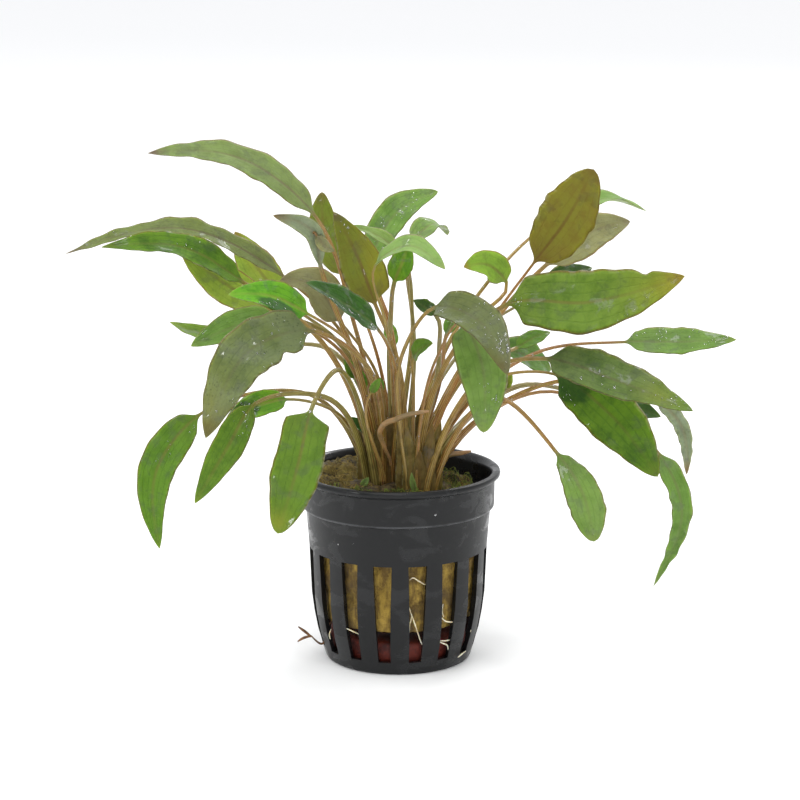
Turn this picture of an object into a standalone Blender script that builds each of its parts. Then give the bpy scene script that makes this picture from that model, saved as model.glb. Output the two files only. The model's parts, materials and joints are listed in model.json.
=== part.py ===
"""A water plant (cryptocoryne) in a small net pot, as it is sold for an aquarium.

The pot holds a fired clay ring for weight and a plug of rock wool. Three short stems sit
in pockets of the wool, and each leaf grows out of one of them as one piece: a petiole that
widens into a blade. The origin is the middle of the pot's underside. Lengths in the tables
are millimetres, x to the right and y away from the side that faces the viewer.
"""

import math
from collections import namedtuple

import bmesh
import bpy
import numpy as np
from mathutils import Matrix, Vector

MM = 0.001
GAP = 0.35

# The pot, from its real sizes.
RIM_RADIUS = 27.5
POT_HEIGHT = 52.0
COLLAR_RADIUS = 25.95
COLLAR_BOTTOM = 41.0
BODY_RADIUS = 24.8
BASE_RADIUS = 21.0
WALL = 1.2
FLOOR = 1.3
POT_SIDES = 32
SLOT_COUNT = 16
SLOT_TURN = 12.5
SLOT_TOP = 31.0
SLOT_BOTTOM = 3.7
SLOT_TOP_WIDTH = 5.0
SLOT_BOTTOM_WIDTH = 3.3
SLOT_CUT_INNER = 16.5
BASE_HOLE_COUNT = 6
BASE_HOLE_CIRCLE = 12.5
BASE_HOLE_RADIUS = 2.2

# What the pot holds.
RING_INNER_RADIUS = 8.5
RING_OUTER_RADIUS = 18.3
RING_TOP = 8.4
RING_SIDES = 24
WOOL_BOTTOM = 11.8
WOOL_TOP = 47.4
WOOL_SIDES = 32
HOLLOW_TURN = 38.0
HOLLOW_SPREAD = 48.0
HOLLOW_DEPTH = 7.5
HOLLOW_START = 22.0
HOLLOW_FULL = 30.0
POCKET_DEPTH = 14.0
CROWN_RADIUS = 6.3
CROWN_BOTTOM = 40.0
CROWN_TOP = 48.2
CROWN_CIRCLE = 8.0
CROWN_TURNS = {"right": -22, "back": 98, "left": 218}

# Seats on a crown: one in the middle, then two rings.
INNER_SEATS = 5
INNER_SEAT_RADIUS = 2.6
INNER_SEAT_TURN = 18.0
OUTER_SEATS = 10
OUTER_SEAT_RADIUS = 5.3

# A leaf's make-up. Each blade station is a share of the blade's length and of its width.
CURVE_SAMPLES = 14
START_LEAN = 0.35
PETIOLE_FOOT_RADIUS = 1.0
PETIOLE_END_RADIUS = 0.65
BLADE_THICKNESS = 0.5
MIDRIB_DEPTH = 0.25
CUPPING = 0.18
PETIOLE_STATIONS = (0.0, 0.3, 0.66)
BLADE_STATIONS = ((0.0, 0.1), (0.1, 0.62), (0.3, 0.97), (0.5, 0.98), (0.72, 0.7), (0.9, 0.32), (1.0, 0.05))

Leaf = namedtuple("Leaf", "number crown seat knee joint middle tip width face")

# knee: a point halfway up the petiole. joint, middle, tip: three points along the blade.
# face: how far the upper side is turned up from facing the viewer, in degrees.
LEAVES = (
    Leaf(1, "left", 8, (-12, 10, 90), (-22, 18, 117), (-43, 20, 133), (-67, 14, 135), 10.5, 60),
    Leaf(2, "left", 0, (-11, -7, 82), (-20, -11, 108), (-22, -13, 118), (-32, -18, 123), 7, 20),
    Leaf(3, "right", 11, (-1, -3, 85), (-6, -3, 97), (-11, 0, 110), (-17, 2, 121), 12, 25),
    Leaf(4, "back", 2, (-6, 14, 81), (-14, 21, 100), (-20, 27, 111), (-21, 33, 122), 11, 40),
    Leaf(5, "back", 12, (-17, 12, 89), (-30, 14, 101), (-56, 10, 115), (-88, 0, 110), 7.5, 50),
    Leaf(6, "left", 3, (-23, -6, 91), (-40, -10, 104), (-54, -14, 113.5), (-76, -20, 115), 9, 50),
    Leaf(7, "left", 9, (-18, 6, 87), (-35, 8, 94), (-48, 12, 101), (-59, 16, 109), 10.5, 20),
    Leaf(8, "left", 4, (-14, -12, 90), (-23, -17, 97), (-33, -23, 103), (-43, -27, 104), 9, 35),
    Leaf(9, "left", 2, (-17, -2, 86), (-32, -4, 94), (-43, -8, 92), (-54, -14, 88), 9, 30),
    Leaf(10, "left", 14, (-9, -14, 84), (-22, -24, 94), (-36, -34, 92), (-48, -46, 71), 14, 25),
    Leaf(11, "back", 11, (-19, 18, 81), (-41, 28, 80), (-54, 32, 82), (-64, 36, 85), 9, 75),
    Leaf(12, "back", 10, (-16, 20, 82), (-32, 34, 92), (-39, 40, 99), (-46, 46, 109), 13, 10),
    Leaf(13, "left", 5, (-7, -2, 81), (-15, -2, 92), (-23, -4, 103), (-31, -6, 104), 11, 40),
    Leaf(14, "left", 15, (-1, -14, 84), (-5, -22, 94), (-15, -30, 103), (-23, -38, 109), 10, 50),
    Leaf(15, "back", 0, (-2, 14, 87), (-7, 24, 105), (0, 30, 117), (11, 34, 122), 11, 40),
    Leaf(16, "back", 14, (4, 8, 91), (1, 10, 108), (-5, 10, 113), (-13, 10, 116), 5.5, 65),
    Leaf(17, "left", 6, (-3, -6, 91), (-6, -12, 109), (3, -18, 115), (12, -24, 110), 8, 60),
    Leaf(18, "back", 9, (4, 26, 85), (4, 40, 107), (10, 46, 111), (14, 52, 107), 8, 55),
    Leaf(19, "back", 13, (-2, 3, 92), (-1, 3, 102), (1, 3, 107), (3, 3, 113), 7, 30),
    Leaf(20, "back", 4, (20, 22, 87), (30, 31, 97), (25, 30, 102), (18, 27, 102), 9, 30),
    Leaf(21, "right", 1, (25, 6, 91), (36, 8, 106), (44, 3, 118), (51, -4, 133), 15.5, 30),
    Leaf(22, "back", 5, (26, 34, 98), (46, 48, 113), (60, 54, 117), (71, 58, 113), 8, 60),
    Leaf(23, "right", 9, (28, 14, 92), (40, 18, 104), (53, 26, 112), (64, 32, 114), 13, 35),
    Leaf(24, "right", 3, (15, -8, 86), (28, -14, 99), (49, -24, 101.5), (72, -34, 110), 17, 25),
    Leaf(25, "back", 8, (23, 34, 83), (42, 48, 92), (49, 56, 95), (56, 62, 96), 8, 40),
    Leaf(26, "right", 0, (38, 0, 84), (60, 2, 86), (75, 2, 86), (90, 0, 87), 9.5, 50),
    Leaf(27, "right", 14, (27, -12, 83), (38, -20, 86), (56, -32, 82.5), (74, -42, 77), 12.5, 40),
    Leaf(28, "back", 6, (24, 20, 79), (33, 34, 78), (38, 38, 80), (43, 42, 81), 5.5, 50),
    Leaf(29, "back", 7, (19, 23, 73), (29, 32, 77), (37, 42, 74), (44, 52, 68), 11, 35),
    Leaf(30, "right", 4, (27, -4, 78), (41, -6, 79), (55, -12, 70), (68, -18, 54), 15, 25),
    Leaf(31, "right", 12, (1, -14, 86), (9, -24, 100), (21, -38, 98.5), (27, -50, 88), 11, 40),
    Leaf(32, "right", 8, (33, 16, 71), (54, 30, 65), (64, 38, 61), (75, 44, 56), 9, 40),
    Leaf(33, "right", 5, (47, 10, 74), (70, 14, 68), (77, 14, 61), (79, 12, 47), 7, 5),
    Leaf(34, "right", 7, (41, 18, 69), (72, 22, 51), (79, 22, 35), (71, 18, 13), 6.5, 5),
    Leaf(35, "right", 15, (26, -12, 74), (41, -24, 62), (47, -32, 54), (50, -38, 42), 10, 15),
    Leaf(36, "right", 10, (11, 4, 83), (10, 4, 93), (7, 4, 95), (4, 4, 97), 5, 50),
    Leaf(37, "back", 15, (12, 8, 78), (13, 12, 86), (15, 14, 90), (17, 16, 93), 4, 30),
    Leaf(38, "right", 13, (10, -14, 85), (16, -22, 96), (21, -32, 88), (21.5, -40, 71), 13, 10),
    Leaf(39, "right", 2, (4, -9, 77), (4, -14, 85), (6, -17, 88), (9, -20, 90), 6, 40),
    Leaf(40, "back", 1, (0, 16, 74), (-1, 20, 81), (-2, 22, 84), (-3, 25, 88), 4, 30),
    Leaf(41, "left", 1, (-7, 0, 68), (-9, 0.5, 73), (-10, 1, 76), (-11.5, 1, 80), 3.5, 30),
    Leaf(42, "back", 3, (-3, 8, 64), (-5, 9, 70), (-6, 11, 73), (-8, 12, 75), 4, 30),
    Leaf(43, "left", 11, (-17, -6, 69), (-29, -10, 73), (-37, -14, 72), (-45, -18, 69), 8, 40),
    Leaf(44, "left", 13, (-16, -20, 83), (-22, -36, 76), (-25, -44, 64), (-30, -52, 48), 13, 10),
    Leaf(45, "left", 12, (-19, -12, 74), (-37, -20, 74), (-44, -28, 64), (-52, -34, 51), 8.5, 20),
    Leaf(46, "left", 10, (-22, 6, 70), (-53, 4, 66), (-65, 0, 51), (-64, -6, 31), 10.5, 15),
)

# Two petioles whose blades were cut off, as points along each.
CUT_PETIOLES = {
    "cut_petiole_front": (
        (-2.5, -12.5, 50),
        (-4, -14.5, 58),
        (-4.5, -16.5, 63),
        (-1, -17.5, 66),
        (8.5, -18, 67),
    ),
    "cut_petiole_right": ((14.8, -2.5, 50), (16, -1.5, 53), (17.5, 0, 55), (20.5, 1.5, 56.5)),
}
CUT_PETIOLE_RADIUS = 0.9
ROOTLET_RADIUS = 0.45
ROOTLET_TRUNK = (
    (-17.6, -3.9, 10.4),
    (-18.9, -4.2, 8.8),
    (-19.3, -4.3, 6.4),
    (-20.2, -4.5, 4.8),
    (-23.5, -5.0, 7.2),
)
ROOTLET_FORKS = (
    ((-23.1, -5.0, 6.9), (-25.1, -5.3, 8.4), (-26.9, -5.6, 9.9)),
    ((-23.1, -5.0, 6.9), (-25.3, -5.4, 6.7), (-27.1, -5.8, 5.7)),
)

PLANT = bpy.data.collections.new("potted_cryptocoryne")
CUTTERS = bpy.data.collections.new("cutters")


def clear_scene():
    for old in list(bpy.data.objects):
        bpy.data.objects.remove(old, do_unlink=True)
    for collection in (PLANT, CUTTERS):
        bpy.context.scene.collection.children.link(collection)


def material(name, colour, roughness):
    """Plastic, fired clay, wool and plant: none of them is metal."""
    made = bpy.data.materials.new(name)
    made.use_nodes = True
    shader = made.node_tree.nodes["Principled BSDF"]
    shader.inputs["Base Color"].default_value = (*colour, 1.0)
    shader.inputs["Roughness"].default_value = roughness
    shader.inputs["Metallic"].default_value = 0.0
    made.diffuse_color = (*colour, 1.0)
    return made


def add_object(name, mesh, collection=PLANT, finish=None):
    obj = bpy.data.objects.new(name, mesh)
    collection.objects.link(obj)
    if finish:
        mesh.materials.append(finish)
        mesh.shade_smooth()
        mesh.set_sharp_from_angle(angle=math.radians(40))
    return obj


def mesh_of(shape, name):
    """Closes a bmesh into a mesh whose faces point out."""
    bmesh.ops.recalc_face_normals(shape, faces=shape.faces[:])
    mesh = bpy.data.meshes.new(name)
    shape.to_mesh(mesh)
    shape.free()
    return mesh


def turned(name, profile, sides, finish):
    """A profile of (radius, height) points, turned round the pot's axis.

    It closes on its first point, unless it starts and ends on the axis.
    """
    mesh = bpy.data.meshes.new(name)
    points = [(radius * MM, 0.0, height * MM) for radius, height in profile]
    edges = [(place, place + 1) for place in range(len(points) - 1)]
    if profile[0][0] > 0:
        edges.append((len(points) - 1, 0))
    mesh.from_pydata(points, edges, [])
    obj = add_object(name, mesh, PLANT, finish)
    screw = obj.modifiers.new("turn", "SCREW")
    screw.steps = sides
    screw.render_steps = sides
    screw.use_merge_vertices = True
    screw.merge_threshold = 0.00001
    screw.use_smooth_shade = True
    return obj


def cut(obj, cutter):
    cutter.hide_render = True
    cutter.display_type = "WIRE"
    boolean = obj.modifiers.new(cutter.name, "BOOLEAN")
    boolean.operation = "DIFFERENCE"
    boolean.solver = "EXACT"
    boolean.object = cutter


def around(turn, radius, height=0.0):
    """A point at a turn in degrees, where 0 is towards the viewer and 90 to the right."""
    angle = math.radians(turn)
    return Vector((radius * math.sin(angle), -radius * math.cos(angle), height))


def slot_cutter():
    """Tapered bars, one for each slot, that point out from the axis."""
    shape = bmesh.new()
    for step in range(SLOT_COUNT):
        bar = bmesh.ops.create_cube(shape, size=1.0)["verts"]
        for vert in bar:
            top = vert.co.z > 0
            width = SLOT_TOP_WIDTH if top else SLOT_BOTTOM_WIDTH
            vert.co.x *= width * MM
            vert.co.y = -(RIM_RADIUS if vert.co.y > 0 else SLOT_CUT_INNER) * MM
            vert.co.z = (SLOT_TOP if top else SLOT_BOTTOM) * MM
        turn = Matrix.Rotation(math.radians(SLOT_TURN + step * 360 / SLOT_COUNT), 3, "Z")
        bmesh.ops.rotate(shape, verts=bar, cent=(0, 0, 0), matrix=turn)
    return add_object("slot_cutter", mesh_of(shape, "slot_cutter"), CUTTERS)


def base_hole_cutter():
    shape = bmesh.new()
    depth = 4 * FLOOR * MM
    for step in range(BASE_HOLE_COUNT):
        place = around(step * 360 / BASE_HOLE_COUNT, BASE_HOLE_CIRCLE) * MM
        bmesh.ops.create_cone(
            shape,
            cap_ends=True,
            segments=8,
            radius1=BASE_HOLE_RADIUS * MM,
            radius2=BASE_HOLE_RADIUS * MM,
            depth=depth,
            matrix=Matrix.Translation(place),
        )
    return add_object("base_hole_cutter", mesh_of(shape, "base_hole_cutter"), CUTTERS)


def make_pot():
    inside = [
        (0.0, FLOOR),
        (BASE_RADIUS - 3.4, FLOOR),
        (BASE_RADIUS - 1.8, 3.0),
        (BASE_RADIUS + 0.1 - WALL, 5.3),
        (BODY_RADIUS - 2.0 - WALL, 13.0),
        (BODY_RADIUS - 0.8 - WALL, SLOT_TOP),
        (BODY_RADIUS - WALL, COLLAR_BOTTOM + 0.7),
        (COLLAR_RADIUS - WALL, COLLAR_BOTTOM + 3.0),
        (COLLAR_RADIUS - WALL, POT_HEIGHT - 2.5),
    ]
    rim = [
        (RIM_RADIUS - 2.0, POT_HEIGHT - 0.4),
        (RIM_RADIUS - 1.2, POT_HEIGHT),
        (RIM_RADIUS - 0.3, POT_HEIGHT - 0.3),
        (RIM_RADIUS, POT_HEIGHT - 1.0),
        (RIM_RADIUS - 0.2, POT_HEIGHT - 1.6),
    ]
    collar = [
        (COLLAR_RADIUS + 0.1, POT_HEIGHT - 2.5),
        (COLLAR_RADIUS, COLLAR_BOTTOM + 1.6),
        (COLLAR_RADIUS - 0.4, COLLAR_BOTTOM + 0.9),
        (BODY_RADIUS + 0.1, COLLAR_BOTTOM + 0.5),
    ]
    body = [
        (BODY_RADIUS, COLLAR_BOTTOM - 0.3),
        (BODY_RADIUS - 0.8, SLOT_TOP),
        (BODY_RADIUS - 1.35, 18.0),
        (BODY_RADIUS - 2.0, 13.0),
        (BASE_RADIUS, 5.0),
        (BASE_RADIUS - 0.8, 2.0),
        (BASE_RADIUS - 1.5, 0.4),
        (BASE_RADIUS - 2.1, 0.0),
        (0.0, 0.0),
    ]
    plastic = material("black_plastic", (0.035, 0.037, 0.038), 0.38)
    pot = turned("net_pot", inside + rim + collar + body, POT_SIDES, plastic)
    cut(pot, slot_cutter())
    cut(pot, base_hole_cutter())


def make_clay_ring():
    profile = [
        (RING_OUTER_RADIUS - 1.0, RING_TOP),
        (RING_OUTER_RADIUS, RING_TOP - 1.0),
        (RING_OUTER_RADIUS, 4.0),
        (RING_OUTER_RADIUS - 1.7, FLOOR + GAP),
        (RING_INNER_RADIUS, FLOOR + GAP),
        (RING_INNER_RADIUS, RING_TOP - 0.8),
        (RING_INNER_RADIUS + 0.8, RING_TOP),
    ]
    turned("clay_ring", profile, RING_SIDES, material("fired_clay", (0.16, 0.035, 0.02), 0.9))


def wool_radius(height):
    """The wool fills the pot to a hair off its wall."""
    heights = (WOOL_BOTTOM, SLOT_TOP, COLLAR_BOTTOM, 44.0, WOOL_TOP)
    radii = (20.8, 22.2, 22.8, 24.0, 24.2)
    return float(np.interp(height, heights, radii))


def wool_hollow(angle, height):
    """How far the wool has shrunk from the wall, at the right and behind, near its top."""
    turn = (math.degrees(angle) - HOLLOW_TURN + 180) % 360 - 180
    if abs(turn) > HOLLOW_SPREAD:
        return 0.0
    rise = min(1.0, max(0.0, (height - HOLLOW_START) / (HOLLOW_FULL - HOLLOW_START)))
    return HOLLOW_DEPTH * rise * math.cos(math.radians(turn / HOLLOW_SPREAD * 90)) ** 0.6


def wool_lift(angle, radius):
    """The torn top of the plug: higher at the front left, lower at the right."""
    lumps = 0.5 * math.sin(3 * angle + 0.6) + 0.4 * math.sin(5 * angle + radius * 0.5)
    return (lumps + 0.5 - 1.1 * math.cos(angle)) * (radius / 24.0) ** 3


def make_wool():
    heights = (WOOL_BOTTOM, 20.0, SLOT_TOP, 41.2, 44.2, WOOL_TOP - 1.2)
    rings = [(wool_radius(height) - (1.0 if height == WOOL_BOTTOM else 0.0), height) for height in heights]
    rings.append((wool_radius(WOOL_TOP) - 1.6, WOOL_TOP))
    shape = bmesh.new()
    first = bmesh.ops.create_circle(shape, segments=WOOL_SIDES, radius=rings[0][0] * MM, cap_ends=False)
    bmesh.ops.translate(shape, verts=first["verts"], vec=(0, 0, rings[0][1] * MM))
    edges = shape.edges[:]
    for (radius, height), (next_radius, next_height) in zip(rings, rings[1:]):
        grown = bmesh.ops.extrude_edge_only(shape, edges=edges)["geom"]
        verts = [item for item in grown if isinstance(item, bmesh.types.BMVert)]
        edges = [edge for edge in shape.edges if edge.is_boundary and edge.verts[0] in verts]
        scale = next_radius / radius
        bmesh.ops.scale(shape, verts=verts, vec=(scale, scale, 1.0))
        bmesh.ops.translate(shape, verts=verts, vec=(0, 0, (next_height - height) * MM))
    bmesh.ops.holes_fill(shape, edges=shape.edges[:], sides=0)
    for vert in shape.verts:
        angle = math.atan2(vert.co.y, vert.co.x)
        radius = vert.co.xy.length / MM
        height = vert.co.z / MM
        shrink = (radius - wool_hollow(angle, height)) / radius
        vert.co.x *= shrink
        vert.co.y *= shrink
        if height > WOOL_TOP - 2.0:
            vert.co.z += wool_lift(angle, radius) * MM
    wool_finish = material("rock_wool", (0.19, 0.13, 0.035), 0.95)
    wool = add_object("wool_plug", mesh_of(shape, "wool_plug"), PLANT, wool_finish)
    pockets = bmesh.new()
    radius = (CROWN_RADIUS + GAP) * MM
    middle = Vector((0, 0, CROWN_BOTTOM - GAP + POCKET_DEPTH / 2))
    for crown in CROWN_TURNS:
        bmesh.ops.create_cone(
            pockets,
            cap_ends=True,
            segments=16,
            radius1=radius,
            radius2=radius,
            depth=POCKET_DEPTH * MM,
            matrix=Matrix.Translation((crown_centre(crown) + middle) * MM),
        )
    cut(wool, add_object("pocket_cutter", mesh_of(pockets, "pocket_cutter"), CUTTERS))


def crown_centre(crown):
    angle = math.radians(CROWN_TURNS[crown])
    return Vector((CROWN_CIRCLE * math.cos(angle), CROWN_CIRCLE * math.sin(angle), 0.0))


def make_crowns():
    finish = material("crown_stem", (0.12, 0.07, 0.025), 0.85)
    middle = Vector((0, 0, (CROWN_TOP + CROWN_BOTTOM) / 2))
    for crown in CROWN_TURNS:
        shape = bmesh.new()
        bmesh.ops.create_cone(
            shape,
            cap_ends=True,
            segments=16,
            radius1=CROWN_RADIUS * 0.7 * MM,
            radius2=CROWN_RADIUS * MM,
            depth=(CROWN_TOP - CROWN_BOTTOM) * MM,
            matrix=Matrix.Translation((crown_centre(crown) + middle) * MM),
        )
        top = [edge for edge in shape.edges if all(vert.co.z > middle.z * MM for vert in edge.verts)]
        bmesh.ops.bevel(
            shape, geom=top, offset=0.5 * MM, segments=1, profile=0.5, affect="EDGES", material=-1
        )
        add_object("crown_" + crown, mesh_of(shape, "crown_" + crown), PLANT, finish)


def seat_place(crown, seat):
    """Where a petiole stands: seat 0 is in the middle, 1 to 5 round it, 6 to 15 round those."""
    centre = crown_centre(crown)
    if seat == 0:
        return centre
    if seat <= INNER_SEATS:
        radius, turn = INNER_SEAT_RADIUS, 360 / INNER_SEATS * seat + INNER_SEAT_TURN
    else:
        radius, turn = OUTER_SEAT_RADIUS, 360 / OUTER_SEATS * (seat - 1 - INNER_SEATS)
    angle = math.radians(turn)
    return centre + Vector((radius * math.cos(angle), radius * math.sin(angle), 0.0))


def curve_through(points, start, samples):
    """A smooth curve through the points, which leaves the first one along start."""
    points = [Vector(point) for point in points]
    spans = [(after - before).length for before, after in zip(points, points[1:])]
    slopes = [Vector(start).normalized()]
    for place in range(1, len(points) - 1):
        before, after = spans[place - 1], spans[place]
        chord_in = (points[place] - points[place - 1]) / before
        chord_out = (points[place + 1] - points[place]) / after
        slopes.append((chord_in * after + chord_out * before) / (before + after))
    slopes.append((points[-1] - points[-2]) / spans[-1] * 1.5 - slopes[-1] * 0.5)
    path = []
    for place, span in enumerate(spans):
        for step in range(samples):
            t = step / samples
            path.append(
                points[place] * (2 * t**3 - 3 * t**2 + 1)
                + slopes[place] * (span * (t**3 - 2 * t**2 + t))
                + points[place + 1] * (3 * t**2 - 2 * t**3)
                + slopes[place + 1] * (span * (t**3 - t**2))
            )
    path.append(points[-1])
    return path


def point_and_heading(path, first, last, share):
    """The place and the direction at a share of the way from one sample to another."""
    lengths = [0.0]
    for before, after in zip(path[first:last], path[first + 1 : last + 1]):
        lengths.append(lengths[-1] + (after - before).length)
    goal = share * lengths[-1]
    place = max(step for step, length in enumerate(lengths[:-1]) if length <= goal or step == 0)
    span = lengths[place + 1] - lengths[place]
    before, after = path[first + place], path[first + place + 1]
    return before.lerp(after, (goal - lengths[place]) / span), (after - before).normalized()


def leaf_path(leaf):
    """Points along the whole leaf, and the sample where its blade begins."""
    foot = seat_place(leaf.crown, leaf.seat) + Vector((0, 0, CROWN_TOP + GAP))
    lean = Vector(leaf.knee) - foot
    start = Vector((lean.x * START_LEAN, lean.y * START_LEAN, lean.length))
    points = (foot, leaf.knee, leaf.joint, leaf.middle, leaf.tip)
    return curve_through(points, start, CURVE_SAMPLES), 2 * CURVE_SAMPLES


def petiole_section(centre, side, upper, radius):
    """Six points of a stalk that is flat on its upper side."""
    return [
        centre - side * radius,
        centre + upper * radius * 0.7,
        centre + side * radius,
        centre + side * radius * 0.6 - upper * radius * 0.75,
        centre - upper * radius,
        centre - side * radius * 0.6 - upper * radius * 0.75,
    ]


def blade_section(centre, side, upper, half_width):
    """Six points of a thin blade, cupped along its midrib."""
    lift = upper * (CUPPING * half_width)
    half = BLADE_THICKNESS / 2
    return [
        centre - side * half_width + lift,
        centre + upper * half,
        centre + side * half_width + lift,
        centre + side * half_width * 0.5 + lift * 0.5 - upper * half,
        centre - upper * (half + MIDRIB_DEPTH),
        centre - side * half_width * 0.5 + lift * 0.5 - upper * half,
    ]


def leaf_sections(leaf):
    path, joint = leaf_path(leaf)
    face = math.radians(leaf.face)
    upper_goal = Vector((0.0, -math.cos(face), math.sin(face)))
    blade = []
    for share, width in BLADE_STATIONS:
        centre, heading = point_and_heading(path, joint, len(path) - 1, share)
        upper = (upper_goal - heading * upper_goal.dot(heading)).normalized()
        side = heading.cross(upper)
        blade.append((centre, side, upper, width))
    sections = []
    upper = blade[0][2]
    for share in reversed(PETIOLE_STATIONS):
        centre, heading = point_and_heading(path, 0, joint, share)
        if share == 0.0:
            heading = Vector((0, 0, 1))
        upper = (upper - heading * upper.dot(heading)).normalized()
        radius = PETIOLE_FOOT_RADIUS + (PETIOLE_END_RADIUS - PETIOLE_FOOT_RADIUS) * share
        sections.insert(0, petiole_section(centre, heading.cross(upper), upper, radius))
    for centre, side, upper, width in blade:
        if width == BLADE_STATIONS[0][1]:
            sections.append(petiole_section(centre, side, upper, PETIOLE_END_RADIUS))
        else:
            sections.append(blade_section(centre, side, upper, width * leaf.width / 2))
    return sections


def lofted(name, sections):
    """A closed solid through sections of equal point counts, capped at both ends."""
    shape = bmesh.new()
    rings = []
    for section in sections:
        verts = [shape.verts.new(point * MM) for point in section]
        rings.append([shape.edges.new((verts[place - 1], verts[place])) for place in range(len(verts))])
    for before, after in zip(rings, rings[1:]):
        bmesh.ops.bridge_loops(shape, edges=before + after)
    bmesh.ops.holes_fill(shape, edges=rings[0] + rings[-1], sides=0)
    bmesh.ops.triangulate(shape, faces=shape.faces[:])
    return mesh_of(shape, name)


def make_leaves():
    greens = {
        "fresh": material("leaf_fresh_green", (0.16, 0.30, 0.05), 0.4),
        "dark": material("leaf_dark_green", (0.05, 0.13, 0.025), 0.35),
        "olive": material("leaf_olive_brown", (0.15, 0.12, 0.03), 0.4),
    }
    shades = ("olive", "dark", "fresh")
    for leaf in LEAVES:
        name = f"leaf_{leaf.number:02d}"
        finish = greens[shades[leaf.number % 3]]
        add_object(name, lofted(name, leaf_sections(leaf)), PLANT, finish)


def tube_mesh(name, points, radius):
    """A round rod along a poly curve, made a mesh so that it can be joined."""
    curve = bpy.data.curves.new(name, "CURVE")
    curve.dimensions = "3D"
    curve.bevel_depth = radius * MM
    curve.bevel_resolution = 1
    curve.use_fill_caps = True
    line = curve.splines.new("POLY")
    line.points.add(len(points) - 1)
    for target, point in zip(line.points, points):
        target.co = (*(Vector(point) * MM), 1.0)
    obj = bpy.data.objects.new(name, curve)
    bpy.context.scene.collection.objects.link(obj)
    graph = bpy.context.evaluated_depsgraph_get()
    mesh = bpy.data.meshes.new_from_object(obj.evaluated_get(graph))
    bpy.data.objects.remove(obj, do_unlink=True)
    welded = bmesh.new()
    welded.from_mesh(mesh)
    bmesh.ops.remove_doubles(welded, verts=welded.verts[:], dist=0.00001)
    return mesh_of(welded, name)


def make_cut_petioles():
    finish = material("petiole_tan", (0.30, 0.17, 0.06), 0.5)
    for name, points in CUT_PETIOLES.items():
        path = curve_through(points, (0, 0, 1), samples=3)
        add_object(name, tube_mesh(name, path, CUT_PETIOLE_RADIUS), PLANT, finish)


def make_rootlet():
    finish = material("root_brown", (0.14, 0.07, 0.03), 0.7)
    trunk = tube_mesh("rootlet_brown", ROOTLET_TRUNK, ROOTLET_RADIUS)
    rootlet = add_object("rootlet_brown", trunk, PLANT, finish)
    for place, points in enumerate(ROOTLET_FORKS):
        name = f"rootlet_fork_{place + 1}"
        fork = add_object(name, tube_mesh(name, points, ROOTLET_RADIUS * 0.85), CUTTERS)
        fork.hide_render = True
        fork.display_type = "WIRE"
        join = rootlet.modifiers.new(name, "BOOLEAN")
        join.operation = "UNION"
        join.solver = "EXACT"
        join.object = fork


clear_scene()
make_pot()
make_clay_ring()
make_wool()
make_crowns()
make_leaves()
make_cut_petioles()
make_rootlet()
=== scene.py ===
# %% [markdown]
# A cryptocoryne is a water plant with long soft leaves, sold in a small net pot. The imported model
# holds its measured solids. This file dresses them: it keeps every place and size, and grows finer
# leaves, wool, roots and a smoother pot over them, each with its own finish.
#
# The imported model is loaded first, because every piece here is placed by it.

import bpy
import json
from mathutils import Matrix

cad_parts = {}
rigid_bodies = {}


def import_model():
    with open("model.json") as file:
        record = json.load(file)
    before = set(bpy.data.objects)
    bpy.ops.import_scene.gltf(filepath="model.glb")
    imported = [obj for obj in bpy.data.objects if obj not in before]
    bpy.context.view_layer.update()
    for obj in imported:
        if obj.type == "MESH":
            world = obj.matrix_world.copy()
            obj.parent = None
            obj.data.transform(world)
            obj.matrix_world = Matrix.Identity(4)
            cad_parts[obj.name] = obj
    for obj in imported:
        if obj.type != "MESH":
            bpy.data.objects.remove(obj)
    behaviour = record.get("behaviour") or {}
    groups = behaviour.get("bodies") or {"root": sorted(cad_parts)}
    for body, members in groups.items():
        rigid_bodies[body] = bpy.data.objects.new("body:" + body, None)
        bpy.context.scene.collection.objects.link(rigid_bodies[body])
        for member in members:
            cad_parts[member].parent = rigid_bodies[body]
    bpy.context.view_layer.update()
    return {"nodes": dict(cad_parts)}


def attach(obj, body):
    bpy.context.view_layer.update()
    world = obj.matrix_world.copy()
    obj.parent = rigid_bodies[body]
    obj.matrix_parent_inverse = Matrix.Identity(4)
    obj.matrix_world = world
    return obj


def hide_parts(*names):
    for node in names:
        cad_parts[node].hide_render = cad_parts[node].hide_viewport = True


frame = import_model()

# %% Blender's modules and the unit
import json
import math
import random
from collections import namedtuple

import bmesh
import bpy
import numpy as np
from mathutils import Matrix, Vector, noise

MM = 0.001
print("nodes in the model:", len(frame["nodes"]))


# %% [markdown]
# The photograph was taken with a long lens from a little above the pot's rim. A camera that stands
# 68 cm away and looks down by 12.5 degrees gives the same ellipse for the rim, so all the plant's
# places in the picture follow from it. The lens is the one that makes the rim as wide as it is
# there. No shift and no blur are needed.

# %% Camera
CAMERA_TARGET = Vector((0.5, 0.0, 70.6)) * MM
CAMERA_DISTANCE = 680 * MM
CAMERA_ELEVATION = math.radians(12.5)
LENS = 114.5

camera = bpy.data.objects.new("camera", bpy.data.cameras.new("camera"))
bpy.context.scene.collection.objects.link(camera)
camera.data.lens = LENS
camera.data.clip_start = 0.05
camera.data.clip_end = 50
lift = Vector((0, -math.cos(CAMERA_ELEVATION), math.sin(CAMERA_ELEVATION)))
camera.location = CAMERA_TARGET + lift * CAMERA_DISTANCE
camera.rotation_euler = (-lift).to_track_quat("-Z", "Y").to_euler()
bpy.context.scene.camera = camera
print("camera at", [round(value, 4) for value in camera.location])


# %% [markdown]
# The plant stands in a white light tent: the light comes from everywhere, a little more from above
# and in front. A pale world does most of it. Three broad lamps add the soft shine on wet leaves and
# the glow of the leaves that are lit from behind. Five small ones give the glints on water.

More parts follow.
